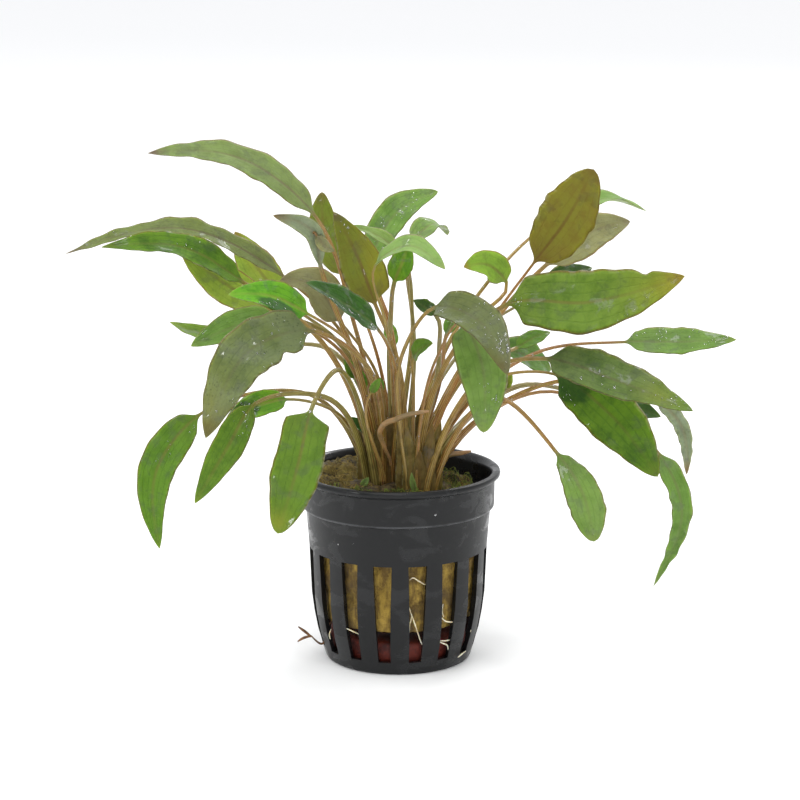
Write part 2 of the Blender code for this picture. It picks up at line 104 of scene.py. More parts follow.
# %% Colour from a paint code
def paint(code):
    """A colour as red, green, blue and alpha for a shader, from its six-digit code."""
    levels = [int(code[place : place + 2], 16) / 255 for place in (1, 3, 5)]
    linear = [level / 12.92 if level <= 0.04045 else ((level + 0.055) / 1.055) ** 2.4 for level in levels]
    return (*linear, 1.0)


# %% Light
bpy.context.scene.view_settings.view_transform = "Standard"
world = bpy.data.worlds.new("light_tent")
world.use_nodes = True
world.node_tree.nodes["Background"].inputs["Color"].default_value = paint("#fbfcff")
world.node_tree.nodes["Background"].inputs["Strength"].default_value = 1.0
bpy.context.scene.world = world


def soft_lamp(name, place, size, power):
    lamp = bpy.data.lights.new(name, "AREA")
    lamp.shape = "SQUARE"
    lamp.size = size
    lamp.energy = power
    holder = bpy.data.objects.new(name, lamp)
    holder.location = place
    holder.rotation_euler = (CAMERA_TARGET - Vector(place)).to_track_quat("-Z", "Y").to_euler()
    bpy.context.scene.collection.objects.link(holder)


soft_lamp("lamp_above", (-0.1, -0.2, 1.3), 0.5, 4.6)
soft_lamp("lamp_left", (-0.9, -0.6, 0.8), 0.35, 2.0)
soft_lamp("lamp_behind", (0.4, 1.1, 1.0), 0.6, 4.0)
GLINTS = ((-0.4, -0.7, 1.0), (0.5, -0.6, 0.9), (0.5, 0.75, 0.9), (-0.7, 0.3, 1.0), (0.05, -0.95, 0.6))
for number, place in enumerate(GLINTS):
    soft_lamp(f"lamp_glint_{number}", place, 0.1, 0.7)


# %% Floor
floor_shape = bmesh.new()
bmesh.ops.create_grid(floor_shape, x_segments=1, y_segments=1, size=4.0)
floor_mesh = bpy.data.meshes.new("floor")
floor_shape.to_mesh(floor_mesh)
floor_shape.free()
floor = bpy.data.objects.new("floor", floor_mesh)
bpy.context.scene.collection.objects.link(floor)
floor_paint = bpy.data.materials.new("white_table")
floor_paint.use_nodes = True
floor_paint.node_tree.nodes["Principled BSDF"].inputs["Base Color"].default_value = paint("#fbfbfa")
floor_paint.node_tree.nodes["Principled BSDF"].inputs["Roughness"].default_value = 0.7
floor_mesh.materials.append(floor_paint)
print("lamps:", sum(1 for thing in bpy.context.scene.objects if thing.type == "LIGHT"))


# %% [markdown]
# Every finish here is made of nodes. A few helpers keep the wiring short: each adds one node to a
# tree, joins sockets or sets plain values, and gives back the socket that the next node needs.

# %% Node helpers
def wire(tree, target, value):
    if isinstance(value, bpy.types.NodeSocket):
        tree.links.new(value, target)
    else:
        target.default_value = value


def maths(tree, operation, *values):
    node = tree.nodes.new("ShaderNodeMath")
    node.operation = operation
    for place, value in enumerate(values):
        wire(tree, node.inputs[place], value)
    return node.outputs[0]


def mixed(tree, share, first, second, way="MIX"):
    node = tree.nodes.new("ShaderNodeMix")
    node.data_type = "RGBA"
    node.blend_type = way
    wire(tree, node.inputs[0], share)
    wire(tree, node.inputs[6], first)
    wire(tree, node.inputs[7], second)
    return node.outputs[2]


def stepped(tree, value, low, high, to_low=0.0, to_high=1.0):
    """A soft step: to_low where the value is under low, to_high where it is over high."""
    node = tree.nodes.new("ShaderNodeMapRange")
    node.interpolation_type = "SMOOTHSTEP"
    for place, number in enumerate((value, low, high, to_low, to_high)):
        wire(tree, node.inputs[place], number)
    return node.outputs[0]


def mottle(tree, vector, scale, detail=3.0, roughness=0.55, distortion=0.0):
    node = tree.nodes.new("ShaderNodeTexNoise")
    wire(tree, node.inputs["Vector"], vector)
    node.inputs["Scale"].default_value = scale
    node.inputs["Detail"].default_value = detail
    node.inputs["Roughness"].default_value = roughness
    node.inputs["Distortion"].default_value = distortion
    return node.outputs["Fac"]


def speckle(tree, vector, scale):
    """The distance to the nearest of many scattered points."""
    node = tree.nodes.new("ShaderNodeTexVoronoi")
    wire(tree, node.inputs["Vector"], vector)
    node.inputs["Scale"].default_value = scale
    return node.outputs["Distance"]


def stored(tree, name):
    """A number that was stored on the mesh."""
    node = tree.nodes.new("ShaderNodeAttribute")
    node.attribute_name = name
    return node.outputs["Fac"]


def place_on_object(tree):
    return tree.nodes.new("ShaderNodeTexCoord").outputs["Object"]


def stretched(tree, vector, scale):
    node = tree.nodes.new("ShaderNodeMapping")
    wire(tree, node.inputs["Vector"], vector)
    node.inputs["Scale"].default_value = scale
    return node.outputs[0]


# %% Helper for a node group
def group_with(name, inputs, outputs):
    """An empty group: its tree, its input sockets by name, and its output node."""
    tree = bpy.data.node_groups.new(name, "ShaderNodeTree")
    for title, kind in inputs:
        tree.interface.new_socket(name=title, in_out="INPUT", socket_type=kind)
    for title, kind in outputs:
        tree.interface.new_socket(name=title, in_out="OUTPUT", socket_type=kind)
    entry = tree.nodes.new("NodeGroupInput")
    return tree, entry.outputs, tree.nodes.new("NodeGroupOutput").inputs


COLOUR, NUMBER = "NodeSocketColor", "NodeSocketFloat"


# %% [markdown]
# A leaf of this plant has a midrib, a few long veins that run beside it to the tip, and faint cross
# veins. Its colour is uneven, browner at the base, the tip and the very edge. Some leaves carry a
# film of water, whose shine is painted on as a grey sheen with darker dots for its beads. The
# petiole is tan to pink, with streaks along it, painted shade in the grooves between its ridges and
# a painted highlight on their crests. One node group makes all of this from numbers stored on the
# leaf's mesh: across runs from -1 to 1 over the blade, along from 0 at its base to 1 at its tip and
# below 0 down the petiole. Each finish then only names its colours.

# %% Group for leaf tissue
def make_leaf_tissue():
    inputs = [(title, COLOUR) for title in ("Leaf", "Shade", "Rib", "Edge", "Tip", "Stalk", "Stalk Shade")]
    inputs += [(title, NUMBER) for title in ("Mottle", "Brown Base", "Brown Tip", "Film")]
    outputs = [("Color", COLOUR), ("Roughness", NUMBER), ("Wet", NUMBER), ("Height", NUMBER)]
    tree, given, result = group_with("leaf_tissue", inputs, outputs)
    across, along, reach = stored(tree, "across"), stored(tree, "along"), stored(tree, "reach")
    travel, under, tint = stored(tree, "travel"), stored(tree, "under"), stored(tree, "tint")
    wet_shadow, yellowed = stored(tree, "wet_shadow"), stored(tree, "yellowed")
    place = place_on_object(tree)
    broad = mottle(tree, place, 190.0, 4.0, 0.6)
    fine = mottle(tree, place, 1100.0, 3.0, 0.6)
    edge = maths(tree, "ABSOLUTE", across)
    from_rib = maths(tree, "ABSOLUTE", reach)

    patches = stepped(tree, maths(tree, "MULTIPLY_ADD", fine, 0.25, broad), 0.5, 0.82)
    colour = mixed(tree, maths(tree, "MULTIPLY", patches, given["Mottle"]), given["Leaf"], given["Shade"])
    waver = maths(tree, "MULTIPLY_ADD", broad, 1.6, maths(tree, "MULTIPLY", edge, 19.0))
    long_veins = stepped(tree, maths(tree, "COSINE", waver), 0.72, 1.0)
    slant = maths(tree, "MULTIPLY_ADD", edge, -4.2, maths(tree, "MULTIPLY", travel, 1.9))
    cross_phase = maths(tree, "MULTIPLY_ADD", broad, 5.0, slant)
    cross_veins = stepped(tree, maths(tree, "SINE", cross_phase), 0.7, 1.0)
    veins = maths(tree, "MAXIMUM", long_veins, maths(tree, "MULTIPLY", cross_veins, 0.5))
    colour = mixed(tree, maths(tree, "MULTIPLY", veins, 0.32), colour, given["Shade"])
    colour = mixed(tree, maths(tree, "MULTIPLY", yellowed, 0.6), colour, paint("#929426"))

    thinning = stepped(tree, along, 0.2, 1.0, 1.0, 0.25)
    rib = maths(tree, "MULTIPLY", stepped(tree, from_rib, 0.15, 0.7, 1.0, 0.0), thinning)
    base = stepped(tree, maths(tree, "MULTIPLY_ADD", broad, 0.3, along), 0.12, 0.5, 1.0, 0.0)
    base = maths(tree, "MULTIPLY", base, given["Brown Base"])
    ribbed = maths(tree, "MAXIMUM", maths(tree, "MULTIPLY", rib, 0.7), base)
    colour = mixed(tree, ribbed, colour, given["Rib"])
    tip_start = maths(tree, "SUBTRACT", 1.0, given["Brown Tip"])
    tip = stepped(tree, maths(tree, "MULTIPLY_ADD", broad, 0.16, along), tip_start, 1.12)
    colour = mixed(tree, tip, colour, given["Tip"])
    # Painted sheen: a grey cloud mixed into the colour stands for the shine of the water film on some leaves; darker
    # dots in it mark its beads.
    cloud = stepped(tree, mottle(tree, place, 120.0, 4.0), 0.4, 0.62, 0.35, 1.0)
    painted_sheen = maths(tree, "MULTIPLY", cloud, given["Film"])
    colour = mixed(tree, maths(tree, "MULTIPLY", painted_sheen, 0.7), colour, paint("#6f7858"))
    beads = speckle(tree, place, 1250.0)
    beaded = stepped(tree, maths(tree, "MULTIPLY_ADD", fine, 0.5, broad), 0.7, 0.85)
    dots = maths(tree, "MULTIPLY", stepped(tree, beads, 0.2, 0.38, 0.8, 0.0), beaded)
    colour = mixed(tree, maths(tree, "MULTIPLY", dots, painted_sheen), colour, paint("#3a4226"))
    # Painted shadow: the wet patches are painted dark green, partly the real darkening of wet tissue and partly the
    # shade where one leaf lies on another.
    ragged_wet_shadow = stepped(tree, maths(tree, "MULTIPLY_ADD", broad, 0.7, wet_shadow), 0.72, 0.96)
    colour = mixed(tree, maths(tree, "MULTIPLY", ragged_wet_shadow, 0.75), colour, paint("#1d440e"))
    colour = mixed(tree, stepped(tree, edge, 0.9, 0.98, 0.0, 0.85), colour, given["Edge"])
    colour = mixed(tree, maths(tree, "MULTIPLY", under, 0.3), colour, paint("#a9a98a"))

    join = tree.nodes.new("ShaderNodeCombineXYZ")
    wire(tree, join.inputs[0], maths(tree, "MULTIPLY", across, 2.4))
    wire(tree, join.inputs[1], maths(tree, "MULTIPLY_ADD", travel, 0.05, maths(tree, "MULTIPLY", tint, 7.0)))
    wire(tree, join.inputs[2], under)
    streaks = mottle(tree, join.outputs[0], 2.2, 4.0, 0.65)
    stalk_share = stepped(tree, maths(tree, "MULTIPLY_ADD", tint, 0.42, streaks), 0.3, 0.75)
    stalk = mixed(tree, stalk_share, given["Stalk"], given["Stalk Shade"])
    blush = mottle(tree, stretched(tree, join.outputs[0], (0.5, 0.8, 1.0)), 1.3, 2.0)
    blushing = maths(tree, "MULTIPLY_ADD", tint, 0.14, blush)
    stalk = mixed(tree, stepped(tree, blushing, 0.5, 0.62, 0.0, 0.65), stalk, paint("#9d5728"))
    # Painted shade: the grooves between the petiole's ridges are darkened with a shade colour.
    ridge_phase = maths(tree, "MULTIPLY_ADD", streaks, 5.0, maths(tree, "MULTIPLY", across, 17.0))
    ridges = stepped(tree, maths(tree, "SINE", ridge_phase), -0.6, 0.9)
    stalk = mixed(tree, maths(tree, "MULTIPLY", ridges, 0.5), stalk, paint("#37290f"))
    # Painted highlight: a pale line on the crest of each ridge stands for the glint of light along a wet petiole.
    painted_crest_highlight = stepped(tree, maths(tree, "SINE", ridge_phase), -0.86, -0.99, 0.0, 0.55)
    stalk = mixed(tree, painted_crest_highlight, stalk, paint("#d6c583"))
    uneven = mottle(tree, stretched(tree, join.outputs[0], (1.0, 3.0, 1.0)), 1.7, 3.0)
    stalk = mixed(tree, stepped(tree, uneven, 0.5, 0.7, 0.0, 0.4), stalk, paint("#4a4a1c"))
    foot = stepped(tree, travel, 2.0, 16.0, 0.3, 0.0)
    stalk = mixed(tree, foot, stalk, paint("#5c4a26"))
    on_stalk = stepped(tree, along, -0.06, 0.07, 1.0, 0.0)
    whole = mixed(tree, stepped(tree, along, -0.06, 0.07), stalk, colour)

    vary = tree.nodes.new("ShaderNodeHueSaturation")
    wire(tree, vary.inputs["Hue"], maths(tree, "MULTIPLY_ADD", tint, 0.012, 0.5))
    wire(tree, vary.inputs["Value"], maths(tree, "MULTIPLY_ADD", tint, 0.14, 1.0))
    wet = stepped(tree, mottle(tree, place, 240.0, 3.0, 0.6, 0.4), 0.53, 0.62)
    wet = maths(tree, "MAXIMUM", wet, maths(tree, "MULTIPLY", ragged_wet_shadow, 0.6))
    wire(tree, result["Wet"], maths(tree, "MAXIMUM", wet, on_stalk))
    wire(tree, vary.inputs["Color"], mixed(tree, maths(tree, "MULTIPLY", wet, 0.18), whole, (0, 0, 0, 1)))
    wire(tree, result["Color"], vary.outputs[0])
    rough = maths(tree, "MULTIPLY_ADD", broad, 0.25, 0.36)
    wire(tree, result["Roughness"], maths(tree, "MULTIPLY_ADD", under, 0.08, rough))
    sunk = maths(tree, "MULTIPLY_ADD", veins, -0.5, maths(tree, "MULTIPLY", fine, 0.6))
    sunk = maths(tree, "MULTIPLY_ADD", maths(tree, "MULTIPLY", beads, painted_sheen), -0.9, sunk)
    grooved = maths(tree, "MULTIPLY", maths(tree, "MULTIPLY", ridges, on_stalk), -0.9)
    wire(tree, result["Height"], maths(tree, "ADD", maths(tree, "MULTIPLY_ADD", rib, -0.6, sunk), grooved))
    return tree


leaf_tissue = make_leaf_tissue()
print("leaf tissue group has", len(leaf_tissue.nodes), "nodes")


# %% Finish of a leaf
def leaf_finish(name, leaf, shade, rib, edge, tip, stalk, stalk_shade, mottling, base, tip_share, painted_sheen, gloss):
    """A leaf's material. gloss is the thin coat of water on it."""
    made = bpy.data.materials.new(name)
    made.use_nodes = True
    tree = made.node_tree
    tissue = tree.nodes.new("ShaderNodeGroup")
    tissue.node_tree = leaf_tissue
    titles = ("Leaf", "Shade", "Rib", "Edge", "Tip", "Stalk", "Stalk Shade")
    for title, code in zip(titles, (leaf, shade, rib, edge, tip, stalk, stalk_shade)):
        tissue.inputs[title].default_value = paint(code)
    for title, number in zip(("Mottle", "Brown Base", "Brown Tip", "Film"), (mottling, base, tip_share, painted_sheen)):
        tissue.inputs[title].default_value = number
    shader = tree.nodes["Principled BSDF"]
    tree.links.new(tissue.outputs["Color"], shader.inputs["Base Color"])
    tree.links.new(tissue.outputs["Roughness"], shader.inputs["Roughness"])
    bump = tree.nodes.new("ShaderNodeBump")
    bump.inputs["Strength"].default_value = 0.55
    bump.inputs["Distance"].default_value = 0.25 * MM
    tree.links.new(tissue.outputs["Height"], bump.inputs["Height"])
    tree.links.new(bump.outputs[0], shader.inputs["Normal"])
    shader.inputs["Specular IOR Level"].default_value = 0.15
    shader.inputs["Subsurface Weight"].default_value = 0.3
    shader.inputs["Subsurface Radius"].default_value = (1.0, 1.0, 0.4)
    shader.inputs["Subsurface Scale"].default_value = 0.6 * MM
    tree.links.new(maths(tree, "MULTIPLY", tissue.outputs["Wet"], gloss), shader.inputs["Coat Weight"])
    shader.inputs["Coat Roughness"].default_value = 0.06
    return made


# %% [markdown]
# The leaves fall into a few looks: bright young green, plain green, dark glossy green, sage with a
# painted grey sheen for its water film, olive, and bronze for the oldest ones. Each look is one row of colours.

# %% Looks of the leaves
Finish = namedtuple("Finish", "leaf shade rib edge tip stalk stalk_shade mottling base tip_share film gloss")
KHAKI, RUST, TAN, CLAY = "#9c9348", "#997836", "#ac9146", "#a1723c"
FINISHES = {
    "bright": Finish("#6a9a20", "#3f7414", "#7f8438", "#5a4a28", "#7a9a2c", KHAKI, TAN, 0.7, 0.1, 0.05, 0.08, 0.9),
    "moss": Finish("#729226", "#507a16", "#6c7430", "#5e5030", "#84962c", KHAKI, RUST, 0.7, 0.15, 0.05, 0.08, 0.6),
    "green": Finish("#5c8426", "#416818", "#5e6a2c", "#54452a", "#6a7f2a", TAN, CLAY, 0.7, 0.15, 0.08, 0.12, 0.6),
    "deep": Finish("#2f5512", "#1c3a0a", "#4c5c28", "#3c3420", "#46601c", KHAKI, RUST, 0.7, 0.1, 0.05, 0.1, 1.0),
    "meadow": Finish("#5b8020", "#456818", "#6a6a2c", "#4c4026", "#6c862a", KHAKI, RUST, 0.7, 0.2, 0.05, 0.05, 0.5),
    "soft": Finish("#6e8c3c", "#557428", "#6a7440", "#54482c", "#74863c", TAN, CLAY, 0.7, 0.15, 0.06, 0.3, 0.6),
    "shady": Finish("#577b18", "#385a10", "#5a6226", "#40361e", "#5f6f20", TAN, CLAY, 0.9, 0.15, 0.08, 0.03, 0.35),
    "marsh": Finish("#587030", "#3a541b", "#565832", "#463a2c", "#5c7a2c", TAN, CLAY, 0.9, 0.2, 0.3, 0.3, 0.4),
    "field": Finish("#64852a", "#47691a", "#6c6a2e", "#5c4426", "#8a7a28", TAN, CLAY, 0.8, 0.15, 0.1, 0.03, 0.3),
    "sage": Finish("#76894a", "#62703c", "#6a5f46", "#6e4c40", "#6e5246", TAN, CLAY, 0.7, 0.25, 0.06, 0.3, 0.4),
    "dusty": Finish("#8d977a", "#757f60", "#7c7458", "#5a4c38", "#7a5c40", TAN, RUST, 0.7, 0.2, 0.2, 0.45, 0.4),
    "pale": Finish("#7f9c50", "#6a8a3e", "#77804a", "#6a5c44", "#8a9a58", KHAKI, TAN, 0.6, 0.15, 0.06, 0.25, 0.5),
    "grey": Finish("#5f6b34", "#455326", "#565632", "#4c3e2c", "#5a4c20", TAN, RUST, 0.8, 0.2, 0.25, 0.75, 0.5),
    "olive": Finish("#67741e", "#66681e", "#6a5426", "#543a24", "#66582a", TAN, CLAY, 0.8, 0.45, 0.1, 0.05, 0.3),
    "bronze": Finish("#757022", "#6e5e20", "#5c3e1c", "#45281a", "#665222", RUST, CLAY, 0.8, 0.5, 0.08, 0.03, 0.2),
    "ash": Finish("#88885a", "#7c7748", "#746444", "#8c6a56", "#74664a", TAN, CLAY, 0.8, 0.3, 0.1, 0.35, 0.4),
    "sheath": Finish("#756535", "#4a401c", "#6c5428", "#6a5a2c", "#6a5428", TAN, CLAY, 0.9, 0.3, 0.2, 0.0, 0.4),
    "lime": Finish("#84a032", "#6c8a28", "#6e6a2c", "#7a4c34", "#86702c", KHAKI, TAN, 0.6, 0.25, 0.1, 0.1, 0.3),
}
leaf_materials = {name: leaf_finish("leaf_" + name, *row) for name, row in FINISHES.items()}
print("leaf looks:", ", ".join(leaf_materials))


# %% [markdown]
# The places of the leaves are those of the measured solids, so the table is the same one: the
# crown and seat that a leaf stands on, a point halfway up its petiole, the joint with the blade,
# the blade's middle and its tip, its width, and how far its upper side is turned up. To that comes
# what only the look needs.

# %% Places of the leaves
GAP = 0.35
CROWN_TOP = 48.2
CROWN_CIRCLE = 8.0
CROWN_TURNS = {"right": -22, "back": 98, "left": 218}
INNER_SEATS, INNER_SEAT_RADIUS, INNER_SEAT_TURN = 5, 2.6, 18.0
OUTER_SEATS, OUTER_SEAT_RADIUS = 10, 5.3
START_LEAN = 0.35

Leaf = namedtuple("Leaf", "number crown seat knee joint middle tip width face")
LEAVES = (
    Leaf(1, "left", 8, (-12, 10, 90), (-22, 18, 117), (-43, 20, 133), (-67, 14, 135), 10.5, 60),
    Leaf(2, "left", 0, (-11, -7, 82), (-20, -11, 108), (-22, -13, 118), (-32, -18, 123), 7, 20),
    Leaf(3, "right", 11, (-1, -3, 85), (-6, -3, 97), (-11, 0, 110), (-17, 2, 121), 12, 25),
    Leaf(4, "back", 2, (-6, 14, 81), (-14, 21, 100), (-20, 27, 111), (-21, 33, 122), 11, 40),
    Leaf(5, "back", 12, (-17, 12, 89), (-30, 14, 101), (-56, 10, 115), (-88, 0, 110), 7.5, 50),
    Leaf(6, "left", 3, (-23, -6, 91), (-40, -10, 104), (-54, -14, 113.5), (-76, -20, 115), 9, 50),
    Leaf(7, "left", 9, (-18, 6, 87), (-35, 8, 94), (-48, 12, 101), (-59, 16, 109), 10.5, 20),
    Leaf(8, "left", 4, (-14, -12, 90), (-23, -17, 97), (-33, -23, 103), (-43, -27, 104), 9, 35),
    Leaf(9, "left", 2, (-17, -2, 86), (-32, -4, 94), (-43, -8, 92), (-54, -14, 88), 9, 30),
    Leaf(10, "left", 14, (-9, -14, 84), (-22, -24, 94), (-36, -34, 92), (-48, -46, 71), 14, 25),
    Leaf(11, "back", 11, (-19, 18, 81), (-41, 28, 80), (-54, 32, 82), (-64, 36, 85), 9, 75),
    Leaf(12, "back", 10, (-16, 20, 82), (-32, 34, 92), (-39, 40, 99), (-46, 46, 109), 13, 10),
    Leaf(13, "left", 5, (-7, -2, 81), (-15, -2, 92), (-23, -4, 103), (-31, -6, 104), 11, 40),
    Leaf(14, "left", 15, (-1, -14, 84), (-5, -22, 94), (-15, -30, 103), (-23, -38, 109), 10, 50),
    Leaf(15, "back", 0, (-2, 14, 87), (-7, 24, 105), (0, 30, 117), (11, 34, 122), 11, 40),
    Leaf(16, "back", 14, (4, 8, 91), (1, 10, 108), (-5, 10, 113), (-13, 10, 116), 5.5, 65),
    Leaf(17, "left", 6, (-3, -6, 91), (-6, -12, 109), (3, -18, 115), (12, -24, 110), 8, 60),
    Leaf(18, "back", 9, (4, 26, 85), (4, 40, 107), (10, 46, 111), (14, 52, 107), 8, 55),
    Leaf(19, "back", 13, (-2, 3, 92), (-1, 3, 102), (1, 3, 107), (3, 3, 113), 7, 30),
    Leaf(20, "back", 4, (20, 22, 87), (30, 31, 97), (25, 30, 102), (18, 27, 102), 9, 30),
    Leaf(21, "right", 1, (25, 6, 91), (36, 8, 106), (44, 3, 118), (51, -4, 133), 15.5, 30),
    Leaf(22, "back", 5, (26, 34, 98), (46, 48, 113), (60, 54, 117), (71, 58, 113), 8, 60),
    Leaf(23, "right", 9, (28, 14, 92), (40, 18, 104), (53, 26, 112), (64, 32, 114), 13, 35),
    Leaf(24, "right", 3, (15, -8, 86), (28, -14, 99), (49, -24, 101.5), (72, -34, 110), 17, 25),
    Leaf(25, "back", 8, (23, 34, 83), (42, 48, 92), (49, 56, 95), (56, 62, 96), 8, 40),
    Leaf(26, "right", 0, (38, 0, 84), (60, 2, 86), (75, 2, 86), (90, 0, 87), 9.5, 50),
    Leaf(27, "right", 14, (27, -12, 83), (38, -20, 86), (56, -32, 82.5), (74, -42, 77), 12.5, 40),
    Leaf(28, "back", 6, (24, 20, 79), (33, 34, 78), (38, 38, 80), (43, 42, 81), 5.5, 50),
    Leaf(29, "back", 7, (19, 23, 73), (29, 32, 77), (37, 42, 74), (44, 52, 68), 11, 35),
    Leaf(30, "right", 4, (27, -4, 78), (41, -6, 79), (55, -12, 70), (68, -18, 54), 15, 25),
    Leaf(31, "right", 12, (1, -14, 86), (9, -24, 100), (21, -38, 98.5), (27, -50, 88), 11, 40),
    Leaf(32, "right", 8, (33, 16, 71), (54, 30, 65), (64, 38, 61), (75, 44, 56), 9, 40),
    Leaf(33, "right", 5, (47, 10, 74), (70, 14, 68), (77, 14, 61), (79, 12, 47), 7, 5),
    Leaf(34, "right", 7, (41, 18, 69), (72, 22, 51), (79, 22, 35), (71, 18, 13), 6.5, 5),
    Leaf(35, "right", 15, (26, -12, 74), (41, -24, 62), (47, -32, 54), (50, -38, 42), 10, 15),
    Leaf(36, "right", 10, (11, 4, 83), (10, 4, 93), (7, 4, 95), (4, 4, 97), 5, 50),
    Leaf(37, "back", 15, (12, 8, 78), (13, 12, 86), (15, 14, 90), (17, 16, 93), 4, 30),
    Leaf(38, "right", 13, (10, -14, 85), (16, -22, 96), (21, -32, 88), (21.5, -40, 71), 13, 10),
    Leaf(39, "right", 2, (4, -9, 77), (4, -14, 85), (6, -17, 88), (9, -20, 90), 6, 40),
    Leaf(40, "back", 1, (0, 16, 74), (-1, 20, 81), (-2, 22, 84), (-3, 25, 88), 4, 30),
    Leaf(41, "left", 1, (-7, 0, 68), (-9, 0.5, 73), (-10, 1, 76), (-11.5, 1, 80), 3.5, 30),
    Leaf(42, "back", 3, (-3, 8, 64), (-5, 9, 70), (-6, 11, 73), (-8, 12, 75), 4, 30),
    Leaf(43, "left", 11, (-17, -6, 69), (-29, -10, 73), (-37, -14, 72), (-45, -18, 69), 8, 40),
    Leaf(44, "left", 13, (-16, -20, 83), (-22, -36, 76), (-25, -44, 64), (-30, -52, 48), 13, 10),
    Leaf(45, "left", 12, (-19, -12, 74), (-37, -20, 74), (-44, -28, 64), (-52, -34, 51), 8.5, 20),
    Leaf(46, "left", 10, (-22, 6, 70), (-53, 4, 66), (-65, 0, 51), (-64, -6, 31), 10.5, 15),
)
print("leaves:", len(LEAVES))


# %% [markdown]
# What the look adds to a leaf: its finish, how far its sides are cupped, how high and how often its
# edge waves, how far the blade twists from base to tip, where it is widest (below 1 nearer the
# base, above 1 nearer the tip), how blunt its tip and its base are, how slim it looks against the
# solid, and how crinkled its edge is.

# %% Character of each leaf
Look = namedtuple(
    "Look", "finish cup wave waves twist peak blunt base slim crinkle",
    defaults=("green", 0.18, 0.3, 2.5, 0, 1.0, 0.15, 0.0, 1.0, 0.0),
)
LOOKS = {
    1: Look("sage", 0.12, 0.35, 4.0, -10, 1.0, 0.1, 0.0, 1.0, 0.25),
    2: Look("dusty", 0.45, 0.5, 1.5, -30, 1.3, 0.3, 0.0, 0.78),
    3: Look("olive", 0.2, 0.2, 2.0, 5, 0.8, 0.1, 0.6),
    4: Look("olive", 0.25, 0.3, 2.0, 0, 1.0, 0.5, 0.0, 0.9),
    5: Look("sage", 0.25, 0.5, 3.0, 15, 1.0, 0.05, 0.3, 1.0, 0.6),
    6: Look("shady", 0.25, 0.5, 2.5, 0, 1.0, 0.15, 0.4, 1.0, 0.2),
    7: Look("lime", 0.15, 0.3, 2.0),
    8: Look("bright", 0.25, 0.35, 2.5, 0, 1.0, 0.3),
    9: Look("soft", 0.2, 0.3, 2.5),
    10: Look("grey", 0.12, 0.4, 4.5, -8, 0.95, 0.2, 0.4, 1.0, 0.3),
    11: Look("moss", 0.2, 0.2, 2.0),
    12: Look("lime", 0.15, 0.25, 2.0, 0, 1.0, 0.15, 0.0, 0.85),
    13: Look("ash", 0.2, 0.3, 3.0),
    14: Look("deep", 0.25, 0.3, 3.0),
    15: Look("soft", 0.3, 0.2, 2.0, 0, 1.1, 0.4, 0.3, 0.9),
    16: Look("pale", 0.3, 0.3, 2.0),
    17: Look("pale", 0.25, 0.3, 2.0, 0, 1.0, 0.25),
    18: Look("pale", 0.3, 0.4, 2.0, 20),
    19: Look("bright", 0.3, 0.2, 2.0),
    20: Look("lime", 0.25, 0.3, 2.0),
    21: Look("bronze", 0.16, 0.2, 2.5, 0, 1.15, 1.0, 0.0, 1.0, 0.15),
    22: Look("pale", 0.35, 0.4, 2.0, 25),
    23: Look("ash", 0.2, 0.3, 2.5, 0, 0.95, 0.2),
    24: Look("field", 0.12, 0.35, 3.5, 0, 1.0, 0.1, 0.35, 1.0, 0.2),
    25: Look("deep", 0.2, 0.3, 2.0),
    26: Look("soft", 0.15, 0.2, 3.0, 0, 1.0, 0.1, 0.2, 1.0, 0.15),
    27: Look("marsh", 0.2, 0.4, 3.0, 10, 1.0, 0.15, 0.4, 1.0, 0.25),
    28: Look("green", 0.2, 0.2, 2.0),
    29: Look("green", 0.2, 0.3, 2.0),
    30: Look("shady", 0.15, 0.25, 3.0, 0, 1.1, 0.4, 0.4, 1.0, 0.15),
    31: Look("grey", 0.3, 0.3, 2.5, 0, 1.0, 0.3, 0.4),
    32: Look("deep", 0.2, 0.3, 2.0),
    33: Look("dusty", 0.25, 0.6, 4.0, 10, 1.0, 0.4, 0.5, 0.62, 0.8),
    34: Look("soft", 0.3, 0.6, 5.0, 70, 0.7, 0.0, 0.6, 1.0, 0.9),
    35: Look("soft", 0.15, 0.15, 2.0, 0, 1.7, 0.9, 0.3, 0.95, 0.1),
    36: Look("deep", 0.3, 0.2, 2.0),
    37: Look("green", 0.3, 0.2, 2.0),
    38: Look("soft", 0.18, 0.3, 3.0, 0, 1.0, 0.7),
    39: Look("green", 0.3, 0.2, 2.0),
    40: Look("bright", 0.3, 0.2, 2.0),
    41: Look("green", 0.3, 0.1, 2.0),
    42: Look("green", 0.3, 0.1, 2.0),
    43: Look("bright", 0.25, 0.2, 2.0),
    44: Look("meadow", 0.12, 0.2, 3.0, 0, 1.1, 0.85, 0.9, 0.97),
    45: Look("meadow", 0.15, 0.2, 3.0),
    46: Look("meadow", 0.18, 0.25, 3.0, 0, 0.9, 0.1, 0.0, 1.0, 0.1),
}
print("leaves with a character of their own:", len(LOOKS))


# %% [markdown]
# A few blades carry a mark of their own: a wet patch where water lies between two leaves, darkened
# with painted shadow, a yellowed end, or a nick in the margin. Each is a soft spot given by its place
# along and across the blade, and by its half lengths in both directions.

